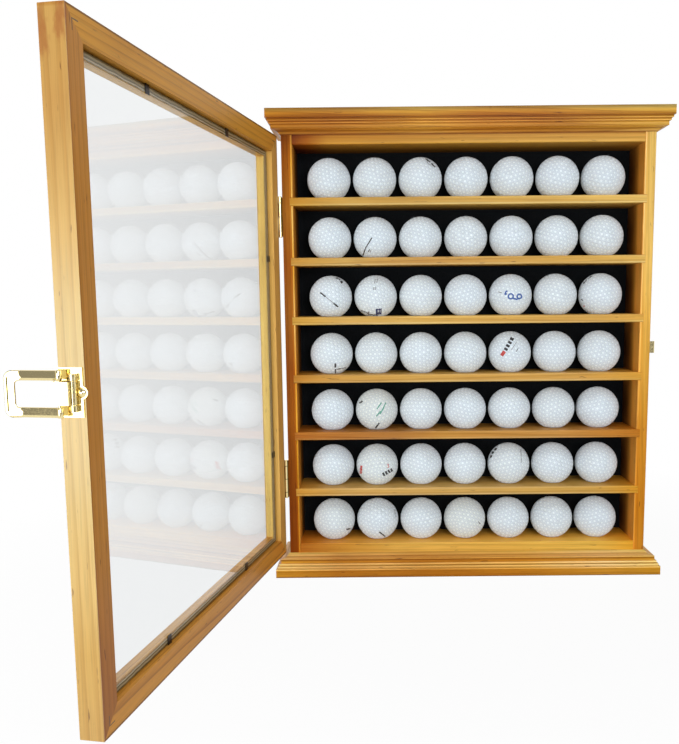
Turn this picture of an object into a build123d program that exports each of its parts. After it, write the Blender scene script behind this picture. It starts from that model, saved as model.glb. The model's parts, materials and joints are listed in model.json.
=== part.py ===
from build123d import *
from math import cos, radians, sin, sqrt
import os

# Wall or table display case for golf balls: a shelved pine box with a crown and a base
# moulding, a mitred door with a clear pane on two brass hinges, and a brass draw latch.
# Millimetres, +Z up. The origin is the middle of the underside of the base, and the open
# front of the case faces -Y. The door is drawn open, swung out on the left.

# Balls and the cups they sit in
ball_diameter = 42.67
ball_columns = 7
ball_rows = 7
ball_gap = 2.5
end_gap = 12.0
headroom = 6.7
depth_room = 6.3
cup_diameter = 19.05
cup_depth = 3.4
ball_seat_clearance = 0.1

# Case
side_thickness = 10.6
board_thickness = 9.0
shelf_thickness = 7.9
dado_depth = 3.3
joint_clearance = 0.05
back_thickness = 3.0
back_rabbet = 5.0
edge_chamfer = 0.9
outer_chamfer = 0.5
hanger_hole_diameter = 6.0
hanger_hole_depth = 14.0
hanger_spacing = 254.0

# Crown and base moulding: overhang from the case and height, from the outer lip inwards
moulding_height = 22.1
lip_overhang = 13.3
lip_height = 8.6
bead_overhangs = (11.8, 10.2)
bead_heights = (11.1, 13.6)
band_overhang = 8.6
band_height = 17.8
cove_overhang = 7.5
cove_foot = 0.8

# Door
open_angle = 100.6
door_gap = 2.0
door_clearance = 1.4
door_thickness = 15.6
frame_face = 16.4
rabbet_width = 5.8
rabbet_depth = 7.4
sight_chamfer = 1.2
pane_thickness = 2.4
pane_clearance = 0.8
nail_leg = 6.5
nail_thickness = 0.6
nail_depth = 8.0
nail_inset = 6.2
point_width = 5.5
point_thickness = 0.5
point_reach = 6.5
point_bite = 4.0
point_clearance = 0.1
top_point_offsets = (-61.0, 79.0)
bottom_point_offsets = (-76.0, 81.0)
stile_point_offsets = (-100.0, 88.0)

# Hinges, laid across the outside of the joint between the case and the door
hinge_height = 37.3
hinge_spread = 257.4
barrel_radius = 2.15
knuckle_end = 5.4
knuckle_gap = 0.2
leaf_thickness = 1.0
leaf_reach = 12.0
leaf_clearance = 0.45
hinge_pin_radius = 1.0
pin_clearance = 0.05
pin_head_radius = 1.7
pin_head_height = 0.7

# Draw latch on the free edge of the door; d runs towards the door's front, e outwards
plate_height = 27.5
plate_width = 14.3
plate_inset = 1.0
plate_thickness = 0.9
lug_radius = 3.7
lug_offset = 0.9
dome_radius = 2.9
dome_height = 1.5
ear_length = 3.6
ear_radius = 1.9
ear_gap = 0.4
lever_width = 13.0
lever_reach = 17.5
lever_thickness = 1.0
lever_pin_d = 5.6
lever_pin_e = 2.9
lever_pin_radius = 1.0
tip_radius = 0.9
bail_pin_d = 12.2
bail_pin_e = 5.6
bail_pin_radius = 0.9
bail_barrel_radius = 1.6
bail_reach = 35.6
bail_opening = 14.8
bail_arm = 5.7
bail_thickness = 1.0
bail_end = 7.6
bail_bend_at = 24.0
bail_bend = 15.0
bail_drop = 0.5
bail_corner = 7.0
bail_inner_corner = 4.0

# Strike plate and hook on the right side of the case
strike_height = 27.5
strike_width = 12.5
strike_setback = 3.2
hook_width = 11.6
hook_setback = 9.0
hook_rise = 8.0
hook_lip = 4.6
hook_thickness = 1.0
hook_bend = 1.6

# Countersunk wood screws
screw_head_radius = 1.9
screw_head_height = 0.9
screw_shank_radius = 1.0
screw_length = 8.0
screw_tip = 1.6
screw_clearance = 0.03
leaf_screw_spread = 22.0
latch_screw_spread = 7.0
latch_screw_d = 11.2
strike_screw_spread = 20.0

# Derived sizes
interior_width = ball_columns * ball_diameter + (ball_columns - 1) * ball_gap + 2 * end_gap
body_width = interior_width + 2 * side_thickness
half_width = body_width / 2
shelf_depth = ball_diameter + depth_room
body_depth = shelf_depth + back_thickness
front_y = -body_depth / 2
back_y = body_depth / 2
compartment = ball_diameter + headroom
interior_height = ball_rows * compartment + (ball_rows - 1) * shelf_thickness
case_bottom = moulding_height
floor_top = case_bottom + board_thickness
ceiling = floor_top + interior_height
case_top = ceiling + board_thickness
case_middle = (case_bottom + case_top) / 2
ball_radius = ball_diameter / 2
cup_sink = ball_radius - sqrt(ball_radius**2 - (cup_diameter / 2) ** 2)
shelf_pitch = compartment + shelf_thickness
row_floors = [floor_top + row * shelf_pitch for row in range(ball_rows)]
row_middle_y = front_y + shelf_depth / 2

os.makedirs("parts", exist_ok=True)


def save(piece, name):
    piece.part.label = name
    export_step(piece.part, f"parts/{name}.step")


def cuboid(x, y, z, mode=Mode.ADD):
    """A box between two x, two y and two z values, inside the block that is open."""
    with BuildSketch(Plane.XY.offset(z[0])) as floor_plan:
        with Locations(((x[0] + x[1]) / 2, (y[0] + y[1]) / 2)):
            Rectangle(x[1] - x[0], y[1] - y[0])
    extrude(floor_plan.sketch, amount=z[1] - z[0], mode=mode)


def turned(places, profile, mode=Mode.ADD):
    """Revolve an (along, radius) profile about the normal of each plane given."""
    for place in places:
        side = Plane(origin=place.origin, x_dir=place.z_dir, z_dir=place.x_dir)
        with BuildSketch(side) as half_section:
            Polygon(*profile, align=None)
        revolve(half_section.sketch, axis=Axis(place.origin, place.z_dir), mode=mode)


def screw_profile(clearance=0.0):
    head = screw_head_radius + clearance
    shank = screw_shank_radius + clearance
    return [
        (0, 0),
        (0, head),
        (-screw_head_height, shank),
        (screw_tip - screw_length, shank),
        (-screw_length - clearance, 0),
    ]


# ---------------------------------------------------------------- case
def side_panel(side):
    """One side of the case; side is -1 on the left and +1 on the right."""
    outer = side * half_width
    inner = side * (half_width - side_thickness)
    span = sorted((inner, outer))
    with BuildPart() as panel:
        cuboid(span, (front_y, back_y), (case_bottom, case_top))
        front_edges = panel.edges().filter_by(Axis.Z).group_by(Axis.Y)[0].sort_by(Axis.X)
        inner_edge = front_edges[-1] if side < 0 else front_edges[0]
        outer_edge = front_edges[0] if side < 0 else front_edges[-1]
        chamfer(inner_edge, length=edge_chamfer)
        chamfer(outer_edge, length=outer_chamfer)
        groove = sorted((inner - side * edge_chamfer, inner + side * dado_depth))
        for floor in row_floors[1:]:
            top = floor + joint_clearance
            bottom = floor - shelf_thickness - joint_clearance
            cuboid(groove, (front_y, back_y - back_thickness), (bottom, top), Mode.SUBTRACT)
        rabbet = sorted((inner - side * edge_chamfer, inner + side * back_rabbet))
        seat_y = (back_y - back_thickness, back_y)
        cuboid(rabbet, seat_y, (case_bottom, case_top), Mode.SUBTRACT)
    return panel


def board(bottom, top, half_length, rounded):
    """A board across the case; rounded names the front edges that are eased."""
    with BuildPart() as plank:
        cuboid((-half_length, half_length), (front_y, front_y + shelf_depth), (bottom, top))
        front_edges = plank.edges().filter_by(Axis.X).group_by(Axis.Y)[0].sort_by(Axis.Z)
        if "bottom" in rounded:
            chamfer(front_edges[0], length=edge_chamfer)
        if "top" in rounded:
            chamfer(front_edges[-1], length=edge_chamfer)
    return plank


def ball_places(floor):
    pitch = ball_diameter + ball_gap
    xs = [(column - (ball_columns - 1) / 2) * pitch for column in range(ball_columns)]
    return [(x, row_middle_y, floor) for x in xs]


def drill_cups(floor):
    for x, y, z in ball_places(floor):
        with BuildSketch(Plane.XY.offset(z - cup_depth)) as cup:
            with Locations((x, y)):
                Circle(cup_diameter / 2)
        extrude(cup.sketch, amount=cup_depth, mode=Mode.SUBTRACT)


# Hinge axis: outside the left front corner, half way across the closed joint
axis_x = -half_width - barrel_radius
axis_y = front_y - door_gap / 2
hinge_middles = (case_middle - hinge_spread / 2, case_middle + hinge_spread / 2)

# Both hinge leaves are drawn in a plane whose x runs away from the axis into the wood
case_hinge = Plane(origin=(axis_x, axis_y, 0), x_dir=(1, 0, 0), z_dir=(0, 0, 1))
swing = radians(open_angle)
along = Vector(cos(swing), -sin(swing), 0)
outward = Vector(-sin(swing), -cos(swing), 0)
door_plane = Plane(origin=(axis_x, axis_y, 0), x_dir=along, z_dir=(0, 0, 1))


def leaf_screw_places(plane, way):
    """Planes at the screw heads of both leaves; way is +1 into the case, -1 into the door."""
    y = way * (leaf_reach + barrel_radius) / 2
    places = []
    for middle in hinge_middles:
        for up in (-leaf_screw_spread / 2, leaf_screw_spread / 2):
            spot = plane.from_local_coords(Vector(barrel_radius - leaf_thickness, y, middle + up))
            places.append(Plane(origin=spot, x_dir=(0, 0, 1), z_dir=-plane.x_dir))
    return places


case_leaf_screws = leaf_screw_places(case_hinge, 1)
door_leaf_screws = leaf_screw_places(door_plane, -1)

# The strike's screws enter the right side of the case
strike_y = front_y + strike_setback
strike_screws = [
    Plane(
        origin=(half_width + plate_thickness, strike_y + strike_width / 2, case_middle + up),
        x_dir=(0, 0, 1),
        z_dir=(1, 0, 0),
    )
    for up in (-strike_screw_spread / 2, strike_screw_spread / 2)
]

left_side = side_panel(-1)
with left_side:
    turned(case_leaf_screws, screw_profile(screw_clearance), Mode.SUBTRACT)
save(left_side, "side_panel_left")

right_side = side_panel(1)
with right_side:
    turned(strike_screws, screw_profile(screw_clearance), Mode.SUBTRACT)
save(right_side, "side_panel_right")

top_board = board(ceiling, case_top, interior_width / 2, ("bottom",))
save(top_board, "top_board")

bottom_board = board(case_bottom, floor_top, interior_width / 2, ("top",))
with bottom_board:
    drill_cups(floor_top)
save(bottom_board, "bottom_board")

shelf_half = interior_width / 2 + dado_depth - joint_clearance
for number, floor in enumerate(row_floors[1:], start=1):
    shelf = board(floor - shelf_thickness, floor, shelf_half, ("bottom", "top"))
    with shelf:
        drill_cups(floor)
    save(shelf, f"shelf_{number}")

with BuildPart() as back_panel:
    back_half = interior_width / 2 + back_rabbet - joint_clearance
    back_span = (back_y - back_thickness, back_y)
    cuboid((-back_half, back_half), back_span, (case_bottom, case_top))
save(back_panel, "back_panel")

for number, floor in enumerate(row_floors, start=1):
    with BuildPart() as balls:
        lift = ball_radius - cup_sink + ball_seat_clearance
        with Locations(*[(x, y, z + lift) for x, y, z in ball_places(floor)]):
            Sphere(ball_radius)
    save(balls, f"golf_balls_row_{number}")


# ---------------------------------------------------------------- crown and base
def moulding_outline():
    """Overhang and height points of the moulding, lip first, body side last."""
    first, second = bead_overhangs
    points = [(0, 0), (lip_overhang, 0), (lip_overhang, lip_height)]
    points += [(first, lip_height), (first, bead_heights[0])]
    points += [(second, bead_heights[0]), (second, bead_heights[1])]
    points += [(band_overhang, bead_heights[1]), (band_overhang, band_height)]
    points += [(cove_overhang, band_height)]
    return points


def moulding_run(plane, length):
    """A run of moulding: the profile drawn on a plane and extruded along its normal."""
    with BuildSketch(plane) as section:
        with BuildLine():
            Polyline(*moulding_outline())
            hollow_x = cove_overhang - (cove_overhang - cove_foot) * 0.62
            hollow_y = band_height + (moulding_height - band_height) * 0.38
            ThreePointArc(
                (cove_overhang, band_height), (hollow_x, hollow_y), (cove_foot, moulding_height)
            )
            Polyline((cove_foot, moulding_height), (0, moulding_height), (0, 0))
        make_face()
    extrude(section.sketch, amount=length)


def moulding_front(level, rise):
    """Front run with 45 degree mitres; level is the lip's z and rise +1 up or -1 down."""
    reach = half_width + lip_overhang
    start = (rise * reach, front_y, level)
    with BuildPart() as run:
        moulding_run(Plane(origin=start, x_dir=(0, -1, 0), z_dir=(-rise, 0, 0)), 2 * reach)
        with BuildSketch(Plane.XY.offset(min(level, level + rise * moulding_height))):
            lip_y = front_y - lip_overhang
            corners = [(-half_width, front_y), (half_width, front_y), (reach, lip_y), (-reach, lip_y)]
            Polygon(*corners, align=None)
        extrude(amount=moulding_height, mode=Mode.INTERSECT)
    return run


def moulding_return(side, level, rise):
    """Side run from the mitre back to the rear of the case; side is -1 left, +1 right."""
    lip_y = front_y - lip_overhang
    start = (side * half_width, lip_y, level)
    plane = Plane(origin=start, x_dir=(side, 0, 0), z_dir=(0, -side * rise, 0))
    with BuildPart() as run:
        moulding_run(plane, -side * rise * (body_depth + lip_overhang))
        with BuildSketch(Plane.XY.offset(min(level, level + rise * moulding_height))):
            outer = side * (half_width + lip_overhang)
            corners = [(side * half_width, front_y), (outer, lip_y), (outer, back_y)]
            corners += [(side * half_width, back_y)]
            Polygon(*corners, align=None)
        extrude(amount=moulding_height, mode=Mode.INTERSECT)
    return run


total_height = case_top + moulding_height
for name, level, rise in (("base", 0.0, 1), ("crown", total_height, -1)):
    save(moulding_front(level, rise), f"{name}_moulding_front")
    save(moulding_return(-1, level, rise), f"{name}_moulding_left")
    save(moulding_return(1, level, rise), f"{name}_moulding_right")

with BuildPart() as base_board:
    cuboid((-half_width, half_width), (front_y, back_y), (0, case_bottom))
save(base_board, "base_board")

with BuildPart() as crown_board:
    cuboid((-half_width, half_width), (front_y, back_y), (case_top, total_height))
    hanger_z = case_top + moulding_height / 2
    with BuildSketch(Plane(origin=(0, back_y, hanger_z), x_dir=(1, 0, 0), z_dir=(0, -1, 0))):
        with GridLocations(hanger_spacing, 0, 2, 1):
            Circle(hanger_hole_diameter / 2)
    extrude(amount=hanger_hole_depth, mode=Mode.SUBTRACT)
save(crown_board, "crown_board")


# ---------------------------------------------------------------- door frame and pane
# On the inner face plane x runs along the door from the hinge axis, y is height, and the
# normal points to the door's front.
door_bottom = case_bottom + door_clearance
door_top = case_top - door_clearance
door_height = door_top - door_bottom
hinge_edge = barrel_radius
free_edge = hinge_edge + body_width
door_centre_x = (hinge_edge + free_edge) / 2
inner_face = Plane(
    origin=door_plane.from_local_coords(Vector(0, -door_gap / 2, 0)), x_dir=along, z_dir=outward
)
door_centre = (door_centre_x, case_middle)
rabbet_size = (body_width - 2 * frame_face, door_height - 2 * frame_face)
sight_size = (rabbet_size[0] - 2 * rabbet_width, rabbet_size[1] - 2 * rabbet_width)

with BuildPart() as door_blank:
    with BuildSketch(inner_face):
        with Locations(door_centre):
            Rectangle(body_width, door_height)
            Rectangle(*rabbet_size, mode=Mode.SUBTRACT)
    extrude(amount=door_thickness)
    with BuildSketch(inner_face.offset(rabbet_depth)):
        with Locations(door_centre):
            Rectangle(*rabbet_size)
            Rectangle(*sight_size, mode=Mode.SUBTRACT)
    extrude(amount=door_thickness - rabbet_depth)
    front = door_blank.faces().filter_by(Axis(inner_face.origin, outward)).sort_by(
        Axis(inner_face.origin, outward)
    )[-1]
    chamfer(front.inner_wires()[0].edges(), length=sight_chamfer)

# Corner points of the mitred members on the inner face
out_l, out_r = hinge_edge, free_edge
out_b, out_t = door_bottom, door_top
member = frame_face + rabbet_width
in_l, in_r = out_l + member, out_r - member
in_b, in_t = out_b + member, out_t - member
member_outlines = {
    "door_rail_top": [(out_l, out_t), (in_l, in_t), (in_r, in_t), (out_r, out_t)],
    "door_rail_bottom": [(out_l, out_b), (out_r, out_b), (in_r, in_b), (in_l, in_b)],
    "door_stile_hinge": [(out_l, out_b), (in_l, in_b), (in_l, in_t), (out_l, out_t)],
    "door_stile_free": [(out_r, out_b), (out_r, out_t), (in_r, in_t), (in_r, in_b)],
}


def corner_nails(mode=Mode.ADD):
    """Bent steel nails driven across each mitre, flush with the inner face."""
    for x, toward_x in ((out_l + nail_inset, 1), (out_r - nail_inset, -1)):
        for y, toward_y in ((out_b + nail_inset, 1), (out_t - nail_inset, -1)):
            with BuildSketch(inner_face) as bent:
                with Locations((x + toward_x * nail_leg / 2, y + toward_y * nail_thickness / 2)):
                    Rectangle(nail_leg, nail_thickness)
                with Locations((x + toward_x * nail_thickness / 2, y + toward_y * nail_leg / 2)):
                    Rectangle(nail_thickness, nail_leg)
            extrude(bent.sketch, amount=nail_depth, mode=mode)


def glazing_points(mode=Mode.ADD):
    """Thin steel points pushed into the rabbet wall that trap the pane."""
    wall_l, wall_r = out_l + frame_face, out_r - frame_face
    wall_b, wall_t = out_b + frame_face, out_t - frame_face
    spots = [((door_centre_x + s, wall_t), (0, 1)) for s in top_point_offsets]
    spots += [((door_centre_x + s, wall_b), (0, -1)) for s in bottom_point_offsets]
    spots += [((wall_l, case_middle + s), (-1, 0)) for s in stile_point_offsets]
    spots += [((wall_r, case_middle + s), (1, 0)) for s in stile_point_offsets]
    level = rabbet_depth - pane_thickness - point_clearance - point_thickness
    half = point_width / 2
    for (x, y), (ux, uy) in spots:
        shape = [(-point_reach, -half), (0, -half), (point_bite, 0), (0, half), (-point_reach, half)]
        corners = [(x + u * ux - v * uy, y + u * uy + v * ux) for u, v in shape]
        with BuildSketch(inner_face.offset(level)) as outline:
            Polygon(*corners, align=None)
        extrude(outline.sketch, amount=point_thickness, mode=mode)


# Latch planes: x is d (towards the front from the inner face), y is e (out from the edge)
latch_zero = door_plane.from_local_coords(Vector(free_edge, -door_gap / 2, case_middle))
latch_plane = Plane(origin=latch_zero, x_dir=outward, z_dir=(0, 0, 1))


def latch_point(d, e, z):
    return latch_plane.from_local_coords(Vector(d, e, z))


latch_screws = [
    Plane(origin=latch_point(latch_screw_d, plate_thickness, up), x_dir=(0, 0, 1), z_dir=along)
    for up in (-latch_screw_spread / 2, latch_screw_spread / 2)
]

for name, outline in member_outlines.items():
    with BuildPart() as frame_member:
        add(door_blank.part)
        with BuildSketch(inner_face):
            Polygon(*outline, align=None)
        extrude(amount=door_thickness, mode=Mode.INTERSECT)
        corner_nails(Mode.SUBTRACT)
        glazing_points(Mode.SUBTRACT)
        if name == "door_stile_hinge":
            turned(door_leaf_screws, screw_profile(screw_clearance), Mode.SUBTRACT)
        if name == "door_stile_free":
            turned(latch_screws, screw_profile(screw_clearance), Mode.SUBTRACT)
    save(frame_member, name)

with BuildPart() as pane:
    with BuildSketch(inner_face.offset(rabbet_depth - pane_thickness)):
        with Locations(door_centre):
            Rectangle(rabbet_size[0] - 2 * pane_clearance, rabbet_size[1] - 2 * pane_clearance)
    extrude(amount=pane_thickness)
save(pane, "door_pane")

with BuildPart() as nails:
    corner_nails()
save(nails, "mitre_nails")

with BuildPart() as points:
    glazing_points()
save(points, "glazing_points")


# ---------------------------------------------------------------- hinges
def knuckle_spans(middle, first):
    """The z spans of every second knuckle, starting with number first."""
    low = middle - hinge_height / 2
    cuts = [low, low + knuckle_end, middle, middle + hinge_height / 2 - knuckle_end]
    cuts.append(middle + hinge_height / 2)
    spans = []
    for index in range(first, 4, 2):
        start = cuts[index] + (knuckle_gap / 2 if index > 0 else 0)
        end = cuts[index + 1] - (knuckle_gap / 2 if index < 3 else 0)
        spans.append((start, end))
    return spans


def hinge_leaf(plane, way, middle, first, screws):
    """A pressed leaf with its rolled knuckles; way is +1 into the case, -1 into the door."""
    low = middle - hinge_height / 2
    near = way * (barrel_radius + leaf_clearance)
    far = way * leaf_reach
    plate_x = barrel_radius - leaf_thickness / 2
    with BuildPart() as leaf:
        with BuildSketch(plane.offset(low)):
            with Locations((plate_x, (near + far) / 2)):
                Rectangle(leaf_thickness, abs(far - near))
        extrude(amount=hinge_height)
        for start, end in knuckle_spans(middle, first):
            with BuildSketch(plane.offset(start)):
                Circle(barrel_radius)
                with Locations((plate_x, near / 2)):
                    Rectangle(leaf_thickness, abs(near))
                Circle(hinge_pin_radius + pin_clearance, mode=Mode.SUBTRACT)
            extrude(amount=end - start)
        turned(screws, screw_profile(screw_clearance), Mode.SUBTRACT)
    return leaf


for name, middle in (("lower", hinge_middles[0]), ("upper", hinge_middles[1])):
    save(hinge_leaf(case_hinge, 1, middle, 0, case_leaf_screws), f"hinge_leaf_case_{name}")
    save(hinge_leaf(door_plane, -1, middle, 1, door_leaf_screws), f"hinge_leaf_door_{name}")
    with BuildPart() as pin:
        low = middle - hinge_height / 2 - pin_clearance
        high = middle + hinge_height / 2 + pin_clearance
        with BuildSketch(case_hinge.offset(low)):
            Circle(hinge_pin_radius)
        extrude(amount=high - low)
        for start in (low - pin_head_height, high):
            with BuildSketch(case_hinge.offset(start)):
                Circle(pin_head_radius)
            extrude(amount=pin_head_height)
        ends = pin.edges().filter_by(GeomType.CIRCLE).group_by(Axis.Z)
        chamfer(ends[0] + ends[-1], length=pin_head_height / 2)
    save(pin, f"hinge_pin_{name}")

with BuildPart() as case_screws:
    turned(case_leaf_screws, screw_profile())
save(case_screws, "hinge_screws_case")

with BuildPart() as door_screws:
    turned(door_leaf_screws, screw_profile())
save(door_screws, "hinge_screws_door")

# ---------------------------------------------------------------- draw latch on the door
half_plate = plate_height / 2
ear_start = lever_width / 2 + ear_gap
with BuildPart() as latch_plate:
    with BuildSketch(latch_plane.offset(-half_plate)):
        with Locations((plate_inset + plate_width / 2, plate_thickness / 2)):
            Rectangle(plate_width, plate_thickness)
    extrude(amount=plate_height)
    lug = Plane(origin=latch_point(plate_inset + lug_offset, 0, 0), x_dir=outward, z_dir=along)
    with BuildSketch(lug):
        Circle(lug_radius)
    extrude(amount=plate_thickness)
    cap_radius = (dome_radius**2 + dome_height**2) / (2 * dome_height)
    cap_side = Plane(origin=lug.offset(plate_thickness).origin, x_dir=along, z_dir=(0, 0, 1))
    with BuildSketch(cap_side):
        with BuildLine():
            cap_turn = sqrt(0.5) * cap_radius
            mid_y = dome_radius * 0.55
            mid_x = sqrt(cap_radius**2 - mid_y**2) - (cap_radius - dome_height)
            ThreePointArc((dome_height, 0), (mid_x, mid_y), (0, dome_radius))
            Polyline((0, dome_radius), (0, 0), (dome_height, 0))
        make_face()
    revolve(axis=Axis(cap_side.origin, along))
    for start in (-ear_start - ear_length, ear_start):
        with BuildSketch(latch_plane.offset(start)):
            with Locations((lever_pin_d, lever_pin_e)):
                Circle(ear_radius)
            with Locations((lever_pin_d, (lever_pin_e + plate_thickness / 2) / 2)):
                Rectangle(2 * ear_radius, lever_pin_e - plate_thickness / 2)
            with Locations((lever_pin_d, lever_pin_e)):
                Circle(lever_pin_radius + pin_clearance, mode=Mode.SUBTRACT)
        extrude(amount=ear_length)
    turned(latch_screws, screw_profile(screw_clearance), Mode.SUBTRACT)
save(latch_plate, "latch_plate")

with BuildPart() as lever_pin:
    pin_half = ear_start + ear_length
    with BuildSketch(latch_plane.offset(-pin_half)):
        with Locations((lever_pin_d, lever_pin_e)):
            Circle(lever_pin_radius)
    extrude(amount=2 * pin_half)
save(lever_pin, "latch_lever_pin")

with BuildPart() as latch_screw_set:
    turned(latch_screws, screw_profile())
save(latch_screw_set, "latch_screws")

with BuildPart() as lever:
    tongue_low = lever_pin_e + pin_clearance
    tongue_high = tongue_low + lever_thickness
    with BuildSketch(latch_plane.offset(-lever_width / 2)):
        with Locations((lever_pin_d, lever_pin_e)):
            Circle(ear_radius)
        with Locations(((lever_pin_d + lever_reach) / 2, (tongue_low + tongue_high) / 2)):
            Rectangle(lever_reach - lever_pin_d, lever_thickness)
        with Locations((bail_pin_d, bail_pin_e)):
            Circle(bail_barrel_radius)
        with Locations((bail_pin_d, (tongue_low + bail_pin_e) / 2)):
            Rectangle(2 * bail_pin_radius, bail_pin_e - tongue_low)
        with Locations((lever_reach - tip_radius, tongue_high)):
            Circle(tip_radius)
        with Locations((lever_pin_d, lever_pin_e)):
            Circle(lever_pin_radius + pin_clearance, mode=Mode.SUBTRACT)
        with Locations((bail_pin_d, bail_pin_e)):
            Circle(bail_pin_radius + screw_clearance, mode=Mode.SUBTRACT)
    extrude(amount=lever_width)
save(lever, "latch_lever")

with BuildPart() as bail_pin:
    bail_half = bail_opening / 2 + bail_arm
    with BuildSketch(latch_plane.offset(-bail_half - bail_drop)):
        with Locations((bail_pin_d, bail_pin_e)):
            Circle(bail_pin_radius)
    extrude(amount=2 * bail_half)
save(bail_pin, "latch_bail_pin")

# The bail: a side profile with its end bent out, cut to a U by its outline
with BuildPart() as bail:
    turn = radians(bail_bend)
    bend_d = bail_pin_d + bail_bend_at
    flat_low = bail_pin_e - bail_thickness / 2
    flat_high = bail_pin_e + bail_thickness / 2
    run = (bail_reach - bail_bend_at) * cos(turn)
    rise = (bail_reach - bail_bend_at) * sin(turn)
    slant = bail_thickness / cos(turn)
    with BuildSketch(latch_plane.offset(-bail_half - bail_drop)):
        Polygon(
            (bail_pin_d, flat_low),
            (bend_d, flat_low),
            (bend_d + run, flat_low + rise),
            (bend_d + run, flat_low + rise + slant),
            (bend_d, flat_low + slant),
            (bend_d - bail_thickness, flat_high),
            (bail_pin_d, flat_high),
            align=None,
        )
    extrude(amount=2 * bail_half)
    shape_plane = Plane(origin=latch_point(0, 0, -bail_drop), x_dir=outward, z_dir=-along)
    far_d = bend_d + run
    opening_end = far_d - bail_end
    with BuildSketch(shape_plane):
        with Locations(((bail_pin_d + far_d - bail_corner) / 2, 0)):
            RectangleRounded(far_d - bail_pin_d + bail_corner, 2 * bail_half, bail_corner)
    extrude(amount=-(flat_high + rise + slant), mode=Mode.INTERSECT)
    with BuildSketch(shape_plane):
        with Locations(((bail_pin_d + opening_end) / 2 - bail_inner_corner, 0)):
            RectangleRounded(
                opening_end - bail_pin_d + 2 * bail_inner_corner, bail_opening, bail_inner_corner
            )
    extrude(amount=-(flat_high + rise + slant), mode=Mode.SUBTRACT)
    for start in (-bail_half - bail_drop, bail_opening / 2 - bail_drop):
        with BuildSketch(latch_plane.offset(start)):
            with Locations((bail_pin_d, bail_pin_e)):
                Circle(bail_barrel_radius)
        extrude(amount=bail_arm)
        with BuildSketch(latch_plane.offset(start)):
            with Locations((bail_pin_d, bail_pin_e)):
                Circle(bail_pin_radius + pin_clearance)
        extrude(amount=bail_arm, mode=Mode.SUBTRACT)
save(bail, "latch_bail")

# ---------------------------------------------------------------- strike on the case
with BuildPart() as strike:
    wall = (half_width, half_width + plate_thickness)
    plate_span = (strike_y, strike_y + strike_width)
    cuboid(wall, plate_span, (case_middle - strike_height / 2, case_middle + strike_height / 2))
    with BuildSketch(Plane.XY.offset(case_middle - hook_width / 2 - bail_drop)):
        with BuildLine():
            top_x = half_width + hook_rise - hook_thickness / 2
            wall_y = front_y + hook_setback + hook_thickness / 2
            FilletPolyline(
                (half_width + hook_thickness / 2, wall_y),
                (top_x, wall_y),
                (top_x, wall_y + hook_lip),
                radius=hook_bend,
            )
        trace(line_width=hook_thickness)
    extrude(amount=hook_width)
    turned(strike_screws, screw_profile(screw_clearance), Mode.SUBTRACT)
save(strike, "strike_plate")

with BuildPart() as strike_screw_set:
    turned(strike_screws, screw_profile())
save(strike_screw_set, "strike_screws")
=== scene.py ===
import json
from math import cos, radians, sin, sqrt

import bmesh
import bpy
from mathutils import Euler, Matrix, Vector
from mathutils.bvhtree import BVHTree


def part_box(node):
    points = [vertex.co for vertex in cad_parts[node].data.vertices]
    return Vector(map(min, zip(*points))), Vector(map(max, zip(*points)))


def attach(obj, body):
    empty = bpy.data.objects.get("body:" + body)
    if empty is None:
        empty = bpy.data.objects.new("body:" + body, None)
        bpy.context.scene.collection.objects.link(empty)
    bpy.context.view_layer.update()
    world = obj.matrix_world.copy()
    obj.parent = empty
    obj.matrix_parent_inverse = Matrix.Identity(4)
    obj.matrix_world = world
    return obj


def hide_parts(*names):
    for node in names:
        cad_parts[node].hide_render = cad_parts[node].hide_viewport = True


# A golf ball display case dressed for a studio picture. Metres, in the frame of the solids:
# the front of the case faces -Y and the door stands open at the left.

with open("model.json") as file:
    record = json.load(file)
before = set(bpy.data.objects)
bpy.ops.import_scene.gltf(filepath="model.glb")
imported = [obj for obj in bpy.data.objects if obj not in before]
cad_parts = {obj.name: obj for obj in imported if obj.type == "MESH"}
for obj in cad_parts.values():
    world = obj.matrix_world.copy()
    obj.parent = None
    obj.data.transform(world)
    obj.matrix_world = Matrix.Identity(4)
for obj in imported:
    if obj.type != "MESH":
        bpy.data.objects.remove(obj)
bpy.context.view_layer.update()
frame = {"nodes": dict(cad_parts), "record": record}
nodes = frame["nodes"]
MM = 0.001
# How far the door stands open in the solids, in degrees
DOOR_OPEN = 100.6


def joint_place(name):
    joints = frame["record"]["behaviour"]["joints"]
    return Vector(next(joint["pos_m"] for joint in joints if joint["name"] == name))


# ---------------------------------------------------------------- node tree helpers


def new_material(name):
    material = bpy.data.materials.new(name)
    material.use_nodes = True
    tree = material.node_tree
    tree.nodes.clear()
    return material, tree


def node(tree, kind, inputs=None, **settings):
    """A node with its settings; inputs maps socket names to values or to other sockets."""
    made = tree.nodes.new(kind)
    for key, value in settings.items():
        setattr(made, key, value)
    for key, value in (inputs or {}).items():
        if isinstance(value, bpy.types.NodeSocket):
            tree.links.new(value, made.inputs[key])
        else:
            made.inputs[key].default_value = value
    return made


def blend_colours(tree, factor, first, second, how="MIX"):
    return node(tree, "ShaderNodeMix", {0: factor, 6: first, 7: second}, data_type="RGBA",
                blend_type=how).outputs[2]


def ramp(tree, factor, stops):
    """A grey or colour ramp through (place, value) stops."""
    made = node(tree, "ShaderNodeValToRGB", {"Fac": factor})
    band = made.color_ramp
    while len(band.elements) < len(stops):
        band.elements.new(0.5)
    for element, (place, value) in zip(band.elements, stops):
        element.position = place
        element.color = value if isinstance(value, tuple) else (value, value, value, 1)
    return made.outputs["Color"]


def stretch(tree, value, low, high, to_low=0.0, to_high=1.0):
    made = node(tree, "ShaderNodeMapRange", {
        "Value": value, "From Min": low, "From Max": high, "To Min": to_low, "To Max": to_high,
    })
    return made.outputs["Result"]


def noise(tree, place, scale, detail=2.0, roughness=0.5):
    return node(tree, "ShaderNodeTexNoise", {
        "Vector": place, "Scale": scale, "Detail": detail, "Roughness": roughness,
    }).outputs["Fac"]


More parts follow.
